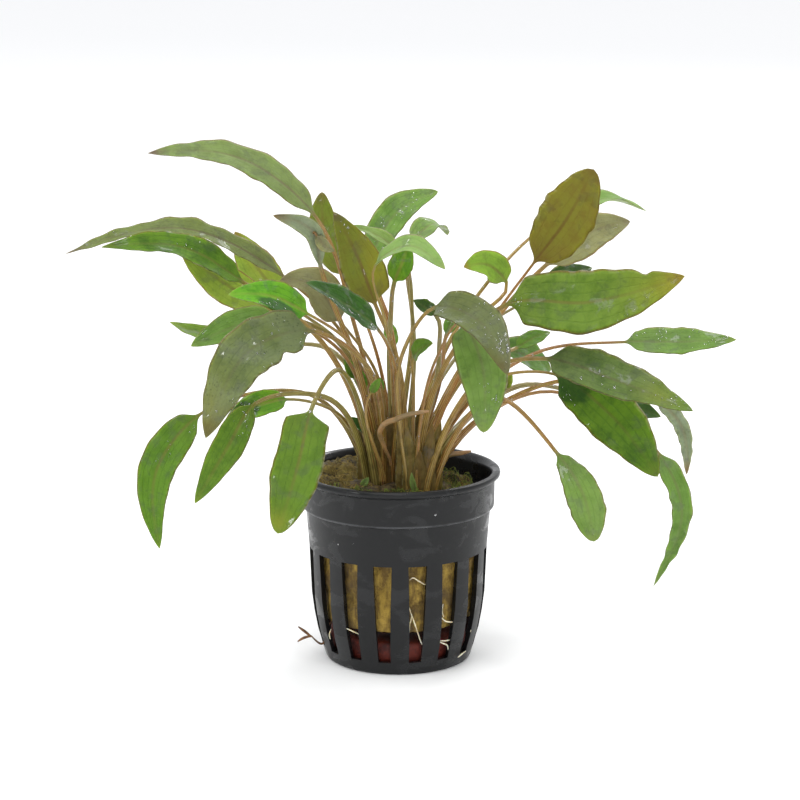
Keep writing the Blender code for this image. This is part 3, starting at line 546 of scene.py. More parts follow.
# %% Spots on single leaves
Spot = namedtuple("Spot", "kind along across long wide")
SPOTS = {
    3: (Spot("yellowed", 0.25, 0.6, 0.3, 0.6),),
    8: (Spot("wet_shadow", 0.45, -0.55, 0.3, 0.55),),
    14: (Spot("wet_shadow", 0.75, -0.6, 0.3, 0.5),),
    10: (Spot("yellowed", 0.9, 0.5, 0.2, 0.9), Spot("nick", 0.24, -1.0, 0.05, 0.7)),
    12: (Spot("yellowed", 0.6, 0.2, 0.4, 0.6),),
    24: (Spot("yellowed", 0.93, 0.2, 0.22, 1.2), Spot("nick", 0.8, -1.0, 0.03, 0.6)),
    27: (Spot("yellowed", 0.9, 0.0, 0.2, 1.0),),
    30: (Spot("wet_shadow", 0.12, 0.3, 0.2, 0.9),),
    43: (Spot("wet_shadow", 0.75, 0.0, 0.3, 1.2),),
    44: (Spot("yellowed", 0.97, 0.3, 0.12, 1.0),),
}
print("spots:", sum(len(group) for group in SPOTS.values()))


# %% Where a petiole stands on its crown
def crown_centre(crown):
    angle = math.radians(CROWN_TURNS[crown])
    return Vector((CROWN_CIRCLE * math.cos(angle), CROWN_CIRCLE * math.sin(angle), 0.0))


def seat_place(crown, seat):
    centre = crown_centre(crown)
    if seat == 0:
        return centre
    if seat <= INNER_SEATS:
        radius, turn = INNER_SEAT_RADIUS, 360 / INNER_SEATS * seat + INNER_SEAT_TURN
    else:
        radius, turn = OUTER_SEAT_RADIUS, 360 / OUTER_SEATS * (seat - 1 - INNER_SEATS)
    angle = math.radians(turn)
    return centre + Vector((radius * math.cos(angle), radius * math.sin(angle), 0.0))


# %% Smooth curve through a leaf's points
def curve_through(points, start, samples):
    points = [Vector(point) for point in points]
    spans = [(after - before).length for before, after in zip(points, points[1:])]
    slopes = [Vector(start).normalized()]
    for place in range(1, len(points) - 1):
        before, after = spans[place - 1], spans[place]
        chord_in = (points[place] - points[place - 1]) / before
        chord_out = (points[place + 1] - points[place]) / after
        slopes.append((chord_in * after + chord_out * before) / (before + after))
    slopes.append((points[-1] - points[-2]) / spans[-1] * 1.5 - slopes[-1] * 0.5)
    path = []
    for place, span in enumerate(spans):
        for step in range(samples):
            t = step / samples
            path.append(
                points[place] * (2 * t**3 - 3 * t**2 + 1)
                + slopes[place] * (span * (t**3 - 2 * t**2 + t))
                + points[place + 1] * (3 * t**2 - 2 * t**3)
                + slopes[place + 1] * (span * (t**3 - t**2))
            )
    path.append(points[-1])
    return np.array(path)


# %% [markdown]
# A leaf is one skin. Its outline in section is a ring of points that is round on the petiole and
# opens into a thin lens on the blade, so the mesh is a grid: one direction goes round the section,
# the other from the foot to the tip. Blender's grid operator makes it, and each of its points is
# moved to its place on the leaf. The two long sides of the grid are then merged.

# %% Spine of a leaf: centres and directions
PETIOLE_ROWS = 24
BLADE_ROWS = 56
SPAN_SAMPLES = 30
Spine = namedtuple("Spine", "centre heading side upper share petiole_length blade_length travel")


def unit(rows):
    return rows / np.linalg.norm(rows, axis=-1, keepdims=True)


def spine_of(points, start, joint_span, face, twist):
    """Rows from foot to tip. share is -1 at the foot, 0 at the joint and 1 at the tip."""
    path = curve_through(points, start, SPAN_SAMPLES)
    steps = np.linalg.norm(np.diff(path, axis=0), axis=1)
    reach = np.concatenate(([0.0], np.cumsum(steps)))
    petiole = reach[joint_span * SPAN_SAMPLES]
    blade = reach[-1] - petiole
    even = np.linspace(0.0, 1.0, BLADE_ROWS + 1)
    blade_share = even + 0.12 * np.sin(2 * np.pi * even) / (2 * np.pi) * -1
    share = np.concatenate((np.linspace(-1.0, 0.0, PETIOLE_ROWS, endpoint=False), blade_share))
    travel = np.where(share < 0, (share + 1) * petiole, petiole + share * blade)
    centre = np.column_stack([np.interp(travel, reach, path[:, axis]) for axis in range(3)])
    heading = unit(np.gradient(centre, travel, axis=0))
    heading[0] = (0.0, 0.0, 1.0)
    turn = np.radians(face + twist * np.clip(share, 0.0, 1.0))
    goal = np.column_stack((np.zeros_like(turn), -np.cos(turn), np.sin(turn)))
    upper = unit(goal - heading * np.sum(goal * heading, axis=1, keepdims=True))
    for row in range(PETIOLE_ROWS - 1, -1, -1):
        carried = upper[row + 1] - heading[row] * upper[row + 1].dot(heading[row])
        upper[row] = carried / np.linalg.norm(carried)
    side = np.cross(heading, upper)
    return Spine(centre, heading, side, upper, share, petiole, blade, travel)


# %% Width of a blade from base to tip
WIDTH_SHARES = (0.0, 0.04, 0.1, 0.2, 0.3, 0.4, 0.5, 0.6, 0.72, 0.82, 0.9, 0.96, 1.0)
WIDTH_LEVELS = (0.1, 0.3, 0.62, 0.85, 0.97, 1.0, 0.98, 0.88, 0.7, 0.5, 0.32, 0.16, 0.0)


def width_level(share, peak, blunt, base):
    """The share of the full width. blunt makes the tip rounder, base the start."""
    place = np.clip(share, 0.0, 1.0) ** peak
    fine = np.linspace(0.0, 1.0, 201)
    level = np.interp(fine, WIDTH_SHARES, WIDTH_LEVELS)
    level = np.convolve(np.pad(level, 8, mode="reflect", reflect_type="odd"), np.ones(17) / 17, "valid")
    sharp = np.interp(place, fine, np.clip(level, 0.0, 1.0))
    round_start = np.clip(np.sqrt(np.clip(share, 0.0, 1.0) * 8), 0.0, 0.95)
    sharp = sharp * (1 - base) + np.maximum(sharp, np.where(place < 0.5, round_start, 0.0)) * base
    round_end = np.clip(np.sqrt(np.clip(1 - place, 0.0, 1.0)) * 1.5, 0.0, 1.0)
    return np.where(place > 0.5, sharp * (1 - blunt) + np.maximum(sharp, round_end) * blunt, sharp)


# %% Points of a leaf's skin
RING_HALF = 12
FOOT_RADIUS, NECK_RADIUS = 0.98, 0.5


def spotted(spots, kind, share, across):
    """How much of a kind of spot lies at each place, from 0 to 1."""
    total = np.zeros(np.broadcast(share, across).shape)
    for spot in spots:
        if spot.kind == kind:
            distance = ((share - spot.along) / spot.long) ** 2 + ((across - spot.across) / spot.wide) ** 2
            total = np.maximum(total, np.exp(-distance))
    return total


def leaf_skin(spine, width, look, seed, spots=(), thinness=1.0):
    """Places of the grid's points in millimetres, and the numbers stored with them."""
    column = np.arange(2 * RING_HALF + 1)
    round_angle = np.pi * (1 - column / RING_HALF)
    across = np.where(column <= RING_HALF, column / RING_HALF * 2 - 1, 3 - column / RING_HALF * 2)
    under = (column > RING_HALF).astype(float)
    share = spine.share[:, None]
    blade_share = np.clip(share, 0.0, 1.0)
    chance = random.Random(seed)
    phase = [chance.uniform(0, 2 * math.pi) for _ in range(6)]

    level = width_level(spine.share, look.peak, look.blunt, look.base)[:, None]
    ragged = 1 + 0.016 * np.sin(blade_share * 17 + phase[0] + 2 * across)
    ragged += (0.01 + 0.05 * look.crinkle) * np.sin(blade_share * 43 + phase[1] + 3 * across)
    ragged -= 0.22 * spotted(spots, "nick", share, across)
    half = np.maximum(width / 2 * look.slim * level * ragged, 0.01)
    slope = look.cup
    flat = 1 / math.sqrt(1 + slope**2)
    envelope = np.sin(np.pi * np.clip(blade_share, 0.0, 1.0)) ** 0.7
    wave_angle = 2 * np.pi * look.waves * blade_share + phase[2] + np.where(across > 0, 0.0, 1.9)
    wave = look.wave * np.abs(across) ** 2 * np.sin(wave_angle) * envelope
    wave += 0.5 * look.crinkle * np.abs(across) ** 3 * np.sin(blade_share * 57 + phase[5] + 2 * across) * envelope
    quilt = 0.1 * np.sin(across * 7.0 + phase[3]) * np.sin(blade_share * 26 + phase[4]) * envelope
    rise = slope * half * np.abs(across) ** 1.5 + wave + quilt
    thick = (0.17 - 0.11 * np.abs(across) ** 2) * np.clip(half / 1.2, 0.1, 1.0)
    rib = np.exp(-((across * half / 0.45) ** 2)) * (1 - blade_share) ** 0.6
    skin = np.where(under > 0, -thick - 0.5 * rib, thick - 0.14 * rib)
    thin_edge = np.abs(across) >= 1
    skin = np.where(thin_edge, 0.0, skin)

    petiole_share = np.clip(-share, 0.0, 1.0)
    radius = (NECK_RADIUS + (FOOT_RADIUS - NECK_RADIUS) * petiole_share**1.3) * thinness
    sheath = 1 + 0.9 * np.clip((petiole_share - 0.5) / 0.5, 0, 1) ** 2.2
    round_side = np.cos(round_angle) * radius * sheath
    round_up = np.sin(round_angle) * radius * np.where(np.sin(round_angle) > 0, 0.62, 1.0)

    open_share = np.clip(blade_share / 0.12, 0.0, 1.0)
    open_share = open_share**2 * (3 - 2 * open_share)
    sideways = round_side * (1 - open_share) + across * half * flat * open_share
    upwards = round_up * (1 - open_share) + (rise + skin) * open_share
    places = (
        spine.centre[:, None, :]
        + sideways[..., None] * spine.side[:, None, :]
        + upwards[..., None] * spine.upper[:, None, :]
    )
    places[-1] = spine.centre[-1]
    rows = np.ones_like(share)
    numbers = {
        "across": rows * across,
        "along": share * np.ones_like(across),
        "reach": across * half * np.ones_like(share),
        "under": rows * under,
        "travel": spine.travel[:, None] * np.ones_like(across),
        "tint": np.full_like(rows * across, chance.uniform(-1, 1)),
        "wet_shadow": spotted(spots, "wet_shadow", share, across),
        "yellowed": spotted(spots, "yellowed", share, across),
    }
    return places, numbers


# %% A leaf's mesh from the grid operator
def leaf_mesh(name, places, numbers):
    rows, columns = places.shape[0] - 1, places.shape[1] - 1
    shape = bmesh.new()
    layers = {title: shape.verts.layers.float.new(title) for title in numbers}
    grid = bmesh.ops.create_grid(shape, x_segments=columns, y_segments=rows, size=0.5)["verts"]
    for vert in grid:
        column = round((vert.co.x + 0.5) * columns)
        row = round((vert.co.y + 0.5) * rows)
        vert.co = places[row, column] * MM
        for title, layer in layers.items():
            vert[layer] = numbers[title][row, column]
    bmesh.ops.remove_doubles(shape, verts=shape.verts[:], dist=0.000001)
    bmesh.ops.holes_fill(shape, edges=[edge for edge in shape.edges if edge.is_boundary], sides=0)
    bmesh.ops.recalc_face_normals(shape, faces=shape.faces[:])
    mesh = bpy.data.meshes.new(name)
    shape.to_mesh(mesh)
    shape.free()
    mesh.shade_smooth()
    return mesh


# %% Grow the leaves
def add_piece(name, mesh, finish, slot, *nodes):
    """A piece of the plant or the pot, which stands for the given nodes."""
    piece = bpy.data.objects.new(name, mesh)
    bpy.context.scene.collection.objects.link(piece)
    mesh.materials.clear()
    mesh.materials.append(finish)
    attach(piece, "root")
    if nodes:
        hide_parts(*nodes)
    return piece


GATHERED = {"right": (5.5, -7.5), "back": (0.5, 6.5), "left": (-4.6, 0.5)}
CLOSENESS = 0.72
SINK = 2.2


def gathered(leaf):
    """The foot of a petiole, drawn in towards its crown's middle as the sheaths are."""
    away = (seat_place(leaf.crown, leaf.seat) - crown_centre(leaf.crown)) * CLOSENESS
    x, y = GATHERED[leaf.crown]
    return Vector((x, y, CROWN_TOP + GAP - SINK)) + away


def leaf_slot(finish):
    if finish == "sheath":
        return "petiole_tan"
    if finish in ("olive", "bronze", "ash"):
        return "leaf_olive_brown"
    dark = finish in ("deep", "shady", "marsh", "grey", "sage", "green")
    return "leaf_dark_green" if dark else "leaf_fresh_green"


skins = {}


def grow(name, points, joint_span, width, face, look, seed, thinness, *nodes):
    """Grows a leaf through its points, and keeps its skin for the drops that lie on it."""
    lean = Vector(points[1]) - Vector(points[0])
    start = Vector((lean.x * START_LEAN, lean.y * START_LEAN, lean.length))
    spine = spine_of(points, start, joint_span, face, look.twist)
    places, numbers = leaf_skin(spine, width, look, seed, SPOTS.get(seed, ()), thinness)
    skins[name] = (spine.share, places)
    mesh = leaf_mesh(name, places, numbers)
    return add_piece(name, mesh, leaf_materials[look.finish], leaf_slot(look.finish), *nodes)


for leaf in LEAVES:
    points = (gathered(leaf), leaf.knee, leaf.joint, leaf.middle, leaf.tip)
    thinness = 0.72 + 0.5 * math.sin(leaf.number * 2.4) ** 2
    name = f"grown_leaf_{leaf.number:02d}"
    grow(name, points, 2, leaf.width, leaf.face, LOOKS[leaf.number], leaf.number, thinness, f"leaf_{leaf.number:02d}")
faces_of_leaves = sum(len(piece.data.polygons) for piece in bpy.data.objects if piece.name.startswith("grown_leaf"))
print("leaves grown:", len(skins), "with", faces_of_leaves, "faces")


# %% [markdown]
# Between the petioles sit the youngest leaves, too small to have solids of their own, and a few
# scales: thin green bits at the foot of the front petioles and on the wool. They are grown in the
# same way.

# %% Small leaves and scales
SMALL_LEAVES = {
    "small_leaf_left": (((-3, 2, 50), (-7.2, -2.0, 61.7), (-9.9, -2.0, 64.2), (-12.6, -2.0, 66.4)), 3.2, 20, "deep"),
    "small_leaf_front": (((-4, -9, 50), (-7.1, -14.0, 75.6), (-6.0, -14.0, 77.4), (-4.7, -14.0, 79.6)), 2.6, 10, "green"),
    "small_leaf_high": (((-3, 2, 50), (-11.3, 2.0, 75.9), (-12.9, 2.0, 79.2), (-14.5, 2.0, 81.9)), 3.4, 20, "green"),
    "small_leaf_right": (((9, -1, 50), (29.1, 8.0, 71.9), (29.9, 8.0, 74.1), (30.7, 8.0, 76.3)), 2.4, 20, "lime"),
    "dry_curl": (((-22, -12.6, 118), (-21, -13.2, 117), (-19.2, -13.6, 114.6), (-16.4, -13.8, 113)), 3.4, 10, "ash"),
    "scale_front": (((4.9, -13.5, 46.5), (4.6, -14.0, 48.5), (3.9, -14.6, 51.2), (3.5, -15.0, 54.4)), 1.9, 0, "pale"),
    "scale_wool": (((-9.9, -7.0, 47.2), (-9.6, -7.5, 48.6), (-8.8, -8.0, 50.0), (-7.8, -8.2, 51.4)), 2.1, 10, "pale"),
}
for place, (name, (points, width, face, finish)) in enumerate(SMALL_LEAVES.items()):
    grow(name, points, 1, width, face, Look(finish, 0.35, 0.1, 2.0), 60 + place, 0.6)
print("small leaves and scales:", len(SMALL_LEAVES))


# %% [markdown]
# Each petiole widens at its foot into a thin sheath that wraps the younger ones. The outer sheaths
# fill the gaps of the clump and turn it into one brown mass. They are short leaves without a
# petiole, set round the three crowns and cupped towards them.

# %% Sheaths round the crowns
SHEATH_TURNS = (172, 206, 240, 274, 308, 342, 16)
SHEATH_CIRCLE, SHEATH_WIDTH = 4.3, 4.6
for crown, (x, y) in GATHERED.items():
    for place, turn in enumerate(SHEATH_TURNS):
        angle = math.radians(turn + CROWN_TURNS[crown] * 0.1)
        out = Vector((math.cos(angle), math.sin(angle), 0))
        height = 13 + 9 * math.sin(place * 2.1 + CROWN_TURNS[crown]) ** 2
        middle = Vector((x, y, 0))
        points = (
            middle + out * SHEATH_CIRCLE * 0.7 + Vector((0, 0, 44.5)),
            middle + out * SHEATH_CIRCLE * 0.9 + Vector((0, 0, 46.0)),
            middle + out * SHEATH_CIRCLE + Vector((0, 0, 47.0 + height / 2)),
            middle + out * SHEATH_CIRCLE * 1.1 + Vector((out.x * 1.5, 0, 47.0 + height)),
        )
        look = Look("sheath", -0.3, 0.15, 2.0, 0, 0.9, 0.0, 0.6)
        grow(f"sheath_{crown}_{place}", points, 1, SHEATH_WIDTH, 0, look, 80 + place, 0.8)
print("sheaths:", len(GATHERED) * len(SHEATH_TURNS))


# %% [markdown]
# The net pot is moulded in black plastic: a rolled rim, a collar, a step, and a tapered body with
# sixteen slots. It is a turned shape, so its profile is spun round the axis, and the slots are
# then cut with tapered bars. A bevel modifier breaks the sharp edges, as a mould does.

# %% Sizes of the pot
RIM_RADIUS, POT_HEIGHT = 27.5, 52.0
COLLAR_RADIUS, COLLAR_BOTTOM = 25.95, 41.0
BODY_RADIUS, BASE_RADIUS = 24.8, 21.0
WALL, FLOOR = 1.2, 1.3
SLOT_COUNT, SLOT_TURN = 16, 12.5
SLOT_TOP, SLOT_BOTTOM = 31.0, 3.7
SLOT_TOP_WIDTH, SLOT_BOTTOM_WIDTH, SLOT_CUT_INNER = 5.0, 3.3, 16.5
BASE_HOLE_COUNT, BASE_HOLE_CIRCLE, BASE_HOLE_RADIUS = 6, 12.5, 2.2
SPIN_STEPS = 160


def spun(name, profile, steps, closed=True):
    """A profile of (radius, height) points in millimetres, spun round the pot's axis."""
    shape = bmesh.new()
    verts = [shape.verts.new((radius * MM, 0, height * MM)) for radius, height in profile]
    pairs = list(zip(verts, verts[1:])) + ([(verts[-1], verts[0])] if closed else [])
    edges = [shape.edges.new(pair) for pair in pairs]
    bmesh.ops.spin(
        shape, geom=verts + edges, cent=(0, 0, 0), axis=(0, 0, 1), dvec=(0, 0, 0),
        angle=2 * math.pi, steps=steps, use_merge=True, use_duplicate=False,
    )
    bmesh.ops.remove_doubles(shape, verts=shape.verts[:], dist=0.000001)
    bmesh.ops.recalc_face_normals(shape, faces=shape.faces[:])
    mesh = bpy.data.meshes.new(name)
    shape.to_mesh(mesh)
    shape.free()
    return mesh


# %% Cutters for the slots and the drain holes
def pot_cutter():
    shape = bmesh.new()
    for step in range(SLOT_COUNT):
        bar = bmesh.ops.create_cube(shape, size=1.0)["verts"]
        for vert in bar:
            top = vert.co.z > 0
            vert.co.x *= (SLOT_TOP_WIDTH if top else SLOT_BOTTOM_WIDTH) * MM
            vert.co.y = -(RIM_RADIUS if vert.co.y > 0 else SLOT_CUT_INNER) * MM
            vert.co.z = (SLOT_TOP if top else SLOT_BOTTOM) * MM
        turn = Matrix.Rotation(math.radians(SLOT_TURN + step * 360 / SLOT_COUNT), 3, "Z")
        bmesh.ops.rotate(shape, verts=bar, cent=(0, 0, 0), matrix=turn)
    for step in range(BASE_HOLE_COUNT):
        angle = math.radians(step * 360 / BASE_HOLE_COUNT)
        place = Vector((BASE_HOLE_CIRCLE * math.sin(angle), -BASE_HOLE_CIRCLE * math.cos(angle), 0)) * MM
        bmesh.ops.create_cone(
            shape, cap_ends=True, segments=24, radius1=BASE_HOLE_RADIUS * MM,
            radius2=BASE_HOLE_RADIUS * MM, depth=4 * FLOOR * MM, matrix=Matrix.Translation(place),
        )
    bmesh.ops.recalc_face_normals(shape, faces=shape.faces[:])
    mesh = bpy.data.meshes.new("pot_cutter")
    shape.to_mesh(mesh)
    shape.free()
    return mesh


def with_modifier(name, mesh, kind, **settings):
    """A copy of a mesh as one modifier leaves it."""
    holder = bpy.data.objects.new(name, mesh)
    bpy.context.scene.collection.objects.link(holder)
    modifier = holder.modifiers.new(kind.lower(), kind)
    for title, value in settings.items():
        setattr(modifier, title, value)
    graph = bpy.context.evaluated_depsgraph_get()
    made = bpy.data.meshes.new_from_object(holder.evaluated_get(graph))
    bpy.data.objects.remove(holder, do_unlink=True)
    made.name = name
    return made


# %% Finish of the black plastic
def make_black_plastic():
    made = bpy.data.materials.new("black_plastic_wet")
    made.use_nodes = True
    tree = made.node_tree
    shader = tree.nodes["Principled BSDF"]
    place = place_on_object(tree)
    smears = mottle(tree, stretched(tree, place, (1.0, 1.0, 1.6)), 110.0, 4.0, 0.6, 0.6)
    wet = stepped(tree, smears, 0.52, 0.58)
    dust = mottle(tree, place, 900.0, 4.0, 0.7)
    colour = mixed(tree, stepped(tree, dust, 0.45, 0.75, 0.0, 0.5), paint("#0b0c0d"), paint("#131415"))
    # Painted sheen: the wet smears are made lighter in colour, standing for light reflected from water on the plastic;
    # they are also smoother and raised.
    colour = mixed(tree, maths(tree, "MULTIPLY", wet, 0.6), colour, paint("#202122"))
    height = tree.nodes.new("ShaderNodeSeparateXYZ")
    wire(tree, height.inputs[0], place)
    # Painted highlight: a lighter band round the rounded lower edge of the collar stands for the floor's light
    # reflected there, broken up by the smears.
    step_low = stepped(tree, height.outputs[2], 0.04165, 0.0419)
    step_line = maths(tree, "MULTIPLY", step_low, stepped(tree, height.outputs[2], 0.0423, 0.0426, 1.0, 0.0))
    painted_step_highlight = maths(tree, "MULTIPLY", step_line, stepped(tree, smears, 0.35, 0.5, 0.2, 0.8))
    colour = mixed(tree, painted_step_highlight, colour, paint("#48494b"))
    tree.links.new(colour, shader.inputs["Base Color"])
    shader.inputs["Specular IOR Level"].default_value = 0.32
    rim = stepped(tree, height.outputs[2], 0.0500, 0.0508)
    rough = maths(tree, "MULTIPLY_ADD", wet, -0.18, maths(tree, "MULTIPLY_ADD", dust, 0.2, 0.32))
    rough = maths(tree, "MULTIPLY_ADD", rim, -0.06, rough)
    tree.links.new(rough, shader.inputs["Roughness"])
    bump = tree.nodes.new("ShaderNodeBump")
    bump.inputs["Strength"].default_value = 0.25
    bump.inputs["Distance"].default_value = 0.1 * MM
    tree.links.new(maths(tree, "MULTIPLY_ADD", wet, 0.4, dust), bump.inputs["Height"])
    tree.links.new(bump.outputs[0], shader.inputs["Normal"])
    return made


# %% The pot
POT_PROFILE = [
    (0.0, FLOOR),
    (BASE_RADIUS - 3.4, FLOOR),
    (BASE_RADIUS - 2.4, 1.9),
    (BASE_RADIUS - 1.8, 3.0),
    (BASE_RADIUS + 0.1 - WALL, 5.3),
    (BODY_RADIUS - 2.0 - WALL, 13.0),
    (BODY_RADIUS - 0.8 - WALL, SLOT_TOP),
    (BODY_RADIUS - WALL, COLLAR_BOTTOM + 0.7),
    (COLLAR_RADIUS - 0.4 - WALL, COLLAR_BOTTOM + 2.0),
    (COLLAR_RADIUS - WALL, COLLAR_BOTTOM + 3.0),
    (COLLAR_RADIUS - WALL, POT_HEIGHT - 2.5),
    (COLLAR_RADIUS - WALL + 0.15, POT_HEIGHT - 1.3),
    (RIM_RADIUS - 2.1, POT_HEIGHT - 0.5),
    (RIM_RADIUS - 1.6, POT_HEIGHT - 0.1),
    (RIM_RADIUS - 1.1, POT_HEIGHT),
    (RIM_RADIUS - 0.5, POT_HEIGHT - 0.12),
    (RIM_RADIUS - 0.15, POT_HEIGHT - 0.4),
    (RIM_RADIUS, POT_HEIGHT - 0.9),
    (RIM_RADIUS - 0.1, POT_HEIGHT - 1.35),
    (RIM_RADIUS - 0.45, POT_HEIGHT - 1.7),
    (RIM_RADIUS - 1.0, POT_HEIGHT - 1.95),
    (COLLAR_RADIUS + 0.15, POT_HEIGHT - 2.3),
    (COLLAR_RADIUS + 0.02, POT_HEIGHT - 3.0),
    (COLLAR_RADIUS - 0.05, COLLAR_BOTTOM + 1.7),
    (COLLAR_RADIUS - 0.12, COLLAR_BOTTOM + 1.25),
    (COLLAR_RADIUS - 0.38, COLLAR_BOTTOM + 0.9),
    (COLLAR_RADIUS - 0.75, COLLAR_BOTTOM + 0.75),
    (BODY_RADIUS + 0.1, COLLAR_BOTTOM + 0.6),
    (BODY_RADIUS, COLLAR_BOTTOM + 0.2),
    (BODY_RADIUS - 0.12, COLLAR_BOTTOM - 2.0),
    (BODY_RADIUS - 0.42, COLLAR_BOTTOM - 5.0),
    (BODY_RADIUS - 0.8, SLOT_TOP),
    (BODY_RADIUS - 1.05, 25.0),
    (BODY_RADIUS - 1.35, 18.0),
    (BODY_RADIUS - 2.0, 13.0),
    (BODY_RADIUS - 2.9, 8.2),
    (BASE_RADIUS, 5.0),
    (BASE_RADIUS - 0.45, 3.2),
    (BASE_RADIUS - 0.95, 1.6),
    (BASE_RADIUS - 1.2, 0.8),
    (BASE_RADIUS - 1.5, 0.3),
    (BASE_RADIUS - 2.1, 0.0),
    (0.0, 0.0),
]
cutter = bpy.data.objects.new("pot_cutter", pot_cutter())
bpy.context.scene.collection.objects.link(cutter)
pot_mesh = with_modifier(
    "pot", spun("pot", POT_PROFILE, SPIN_STEPS, closed=False), "BOOLEAN",
    operation="DIFFERENCE", solver="EXACT", object=cutter,
)
bpy.data.objects.remove(cutter, do_unlink=True)
pot_mesh.shade_smooth()
pot_mesh.set_sharp_from_angle(angle=math.radians(35))
pot = add_piece("moulded_pot", pot_mesh, make_black_plastic(), "black_plastic", "net_pot")
soft_edges = pot.modifiers.new("soft_edges", "BEVEL")
soft_edges.width = 0.18 * MM
soft_edges.segments = 2
soft_edges.limit_method = "ANGLE"
soft_edges.angle_limit = math.radians(50)
print("pot faces:", len(pot_mesh.polygons))


# %% [markdown]
# On the pot's floor lies a ring of fired clay, rough and red-brown. It is spun too, then each of
# its points is pushed a little by noise, because fired clay is never quite true.

# %% Push points by noise
def roughened(mesh, height, scale, seed=0.0):
    """Moves each point along its normal by noise. height is in millimetres, scale per metre."""
    shape = bmesh.new()
    shape.from_mesh(mesh)
    shape.normal_update()
    shift = Vector((seed, seed * 0.7, seed * 1.3))
    for vert in shape.verts:
        vert.co += vert.normal * (noise.fractal(vert.co * scale + shift, 0.6, 2.0, 4) * height * MM)
    shape.to_mesh(mesh)
    shape.free()
    mesh.shade_smooth()
    return mesh


# %% The clay ring
RING_PROFILE = [
    (17.3, 8.4), (17.9, 8.2), (18.25, 7.6), (18.3, 6.0), (18.2, 4.2), (17.6, 2.6), (16.6, 1.75),
    (12.5, 1.65), (9.2, 1.7), (8.6, 2.3), (8.5, 5.0), (8.6, 7.6), (9.3, 8.3), (13.0, 8.4),
]


def earthy(name, low, high, scale, rough, bump_mm):
    """A dull finish in two colours, for clay, roots and wool."""
    made = bpy.data.materials.new(name)
    made.use_nodes = True
    tree = made.node_tree
    shader = tree.nodes["Principled BSDF"]
    place = place_on_object(tree)
    broad = mottle(tree, place, scale, 5.0, 0.65)
    fine = mottle(tree, place, scale * 6, 4.0, 0.7)
    share = stepped(tree, maths(tree, "MULTIPLY_ADD", fine, 0.6, broad), 0.6, 0.98)
    tree.links.new(mixed(tree, share, paint(low), paint(high)), shader.inputs["Base Color"])
    tree.links.new(maths(tree, "MULTIPLY_ADD", fine, 0.3, rough - 0.15), shader.inputs["Roughness"])
    bump = tree.nodes.new("ShaderNodeBump")
    bump.inputs["Strength"].default_value = 0.8
    bump.inputs["Distance"].default_value = bump_mm * MM
    tree.links.new(maths(tree, "ADD", fine, broad), bump.inputs["Height"])
    tree.links.new(bump.outputs[0], shader.inputs["Normal"])
    return made


ring_mesh = roughened(spun("clay", RING_PROFILE, 96), 0.12, 600.0)
ring_finish = earthy("fired_clay_wet", "#471712", "#7a2f20", 300.0, 0.6, 0.3)
add_piece("fired_ring", ring_mesh, ring_finish, "fired_clay", "clay_ring")
print("clay ring faces:", len(ring_mesh.polygons))


# %% [markdown]
# The plug of rock wool fills the pot. Its side shows as yellow-brown felt behind the slots, and its
# top is torn, brown and mossy. At the right behind, it has shrunk away from the wall and leaves a
# dark hollow. The grid operator gives its skin: one way goes round the plug, the other from the
# middle of its underside up the side and in over the top. Noise does the tearing.

# %% Shape of the wool
WOOL_BOTTOM, WOOL_TOP = 11.8, 47.4
HOLLOW_TURN, HOLLOW_SPREAD, HOLLOW_DEPTH = 38.0, 48.0, 7.5
HOLLOW_START, HOLLOW_FULL = 22.0, 30.0
WOOL_COLUMNS = 180


def wool_radius(height):
    return float(np.interp(height, (WOOL_BOTTOM, SLOT_TOP, COLLAR_BOTTOM, 44.0, WOOL_TOP), (20.8, 22.2, 22.8, 24.0, 24.2)))


def wool_hollow(angle, height):
    turn = (math.degrees(angle) - HOLLOW_TURN + 180) % 360 - 180
    if abs(turn) > HOLLOW_SPREAD:
        return 0.0
    rise = min(1.0, max(0.0, (height - HOLLOW_START) / (HOLLOW_FULL - HOLLOW_START)))
    return HOLLOW_DEPTH * rise * math.cos(math.radians(turn / HOLLOW_SPREAD * 90)) ** 0.6


def wool_lift(angle, radius):
    lumps = 0.5 * math.sin(3 * angle + 0.6) + 0.4 * math.sin(5 * angle + radius * 0.5)
    return (lumps + 0.5 - 1.1 * math.cos(angle)) * (radius / 24.0) ** 3


def wool_top(x, y):
    """The height of the torn top at a place: heaped at the right and at the left behind."""
    angle, radius = math.atan2(y, x), math.hypot(x, y)
    tear = noise.fractal(Vector((x, y, WOOL_TOP)) * 0.22, 0.6, 2.0, 5)
    heaps = 1.9 * math.exp(-((x - 13) ** 2 + (y - 2) ** 2) / 70)
    heaps += 2.2 * math.exp(-((x + 12) ** 2 + (y - 14) ** 2) / 120)
    return WOOL_TOP + wool_lift(angle, radius) + tear * 1.6 + heaps


WOOL_PROFILE = [(radius, WOOL_BOTTOM) for radius in (0.0, 8.0, 14.0, 18.5)]
WOOL_PROFILE += [(wool_radius(height), height) for height in np.linspace(WOOL_BOTTOM + 0.5, WOOL_TOP - 0.8, 52)]
WOOL_PROFILE += [(radius, WOOL_TOP) for radius in np.linspace(23.2, 0.0, 34)]


def wool_place(row, column):
    """A point of the plug, in millimetres."""
    angle = 2 * math.pi * column / WOOL_COLUMNS
    radius, height = WOOL_PROFILE[row]
    reach = max(0.0, radius - wool_hollow(angle, height) * min(1.0, radius / 12.0))
    place = Vector((reach * math.cos(angle), reach * math.sin(angle), height))
    tear = noise.fractal(place * 0.22, 0.6, 2.0, 5)
    if height > WOOL_TOP - 0.5:
        place.z = wool_top(place.x, place.y)
    elif radius > 15:
        push = tear * 0.7 - 0.25
        place.x += push * math.cos(angle)
        place.y += push * math.sin(angle)
    return place


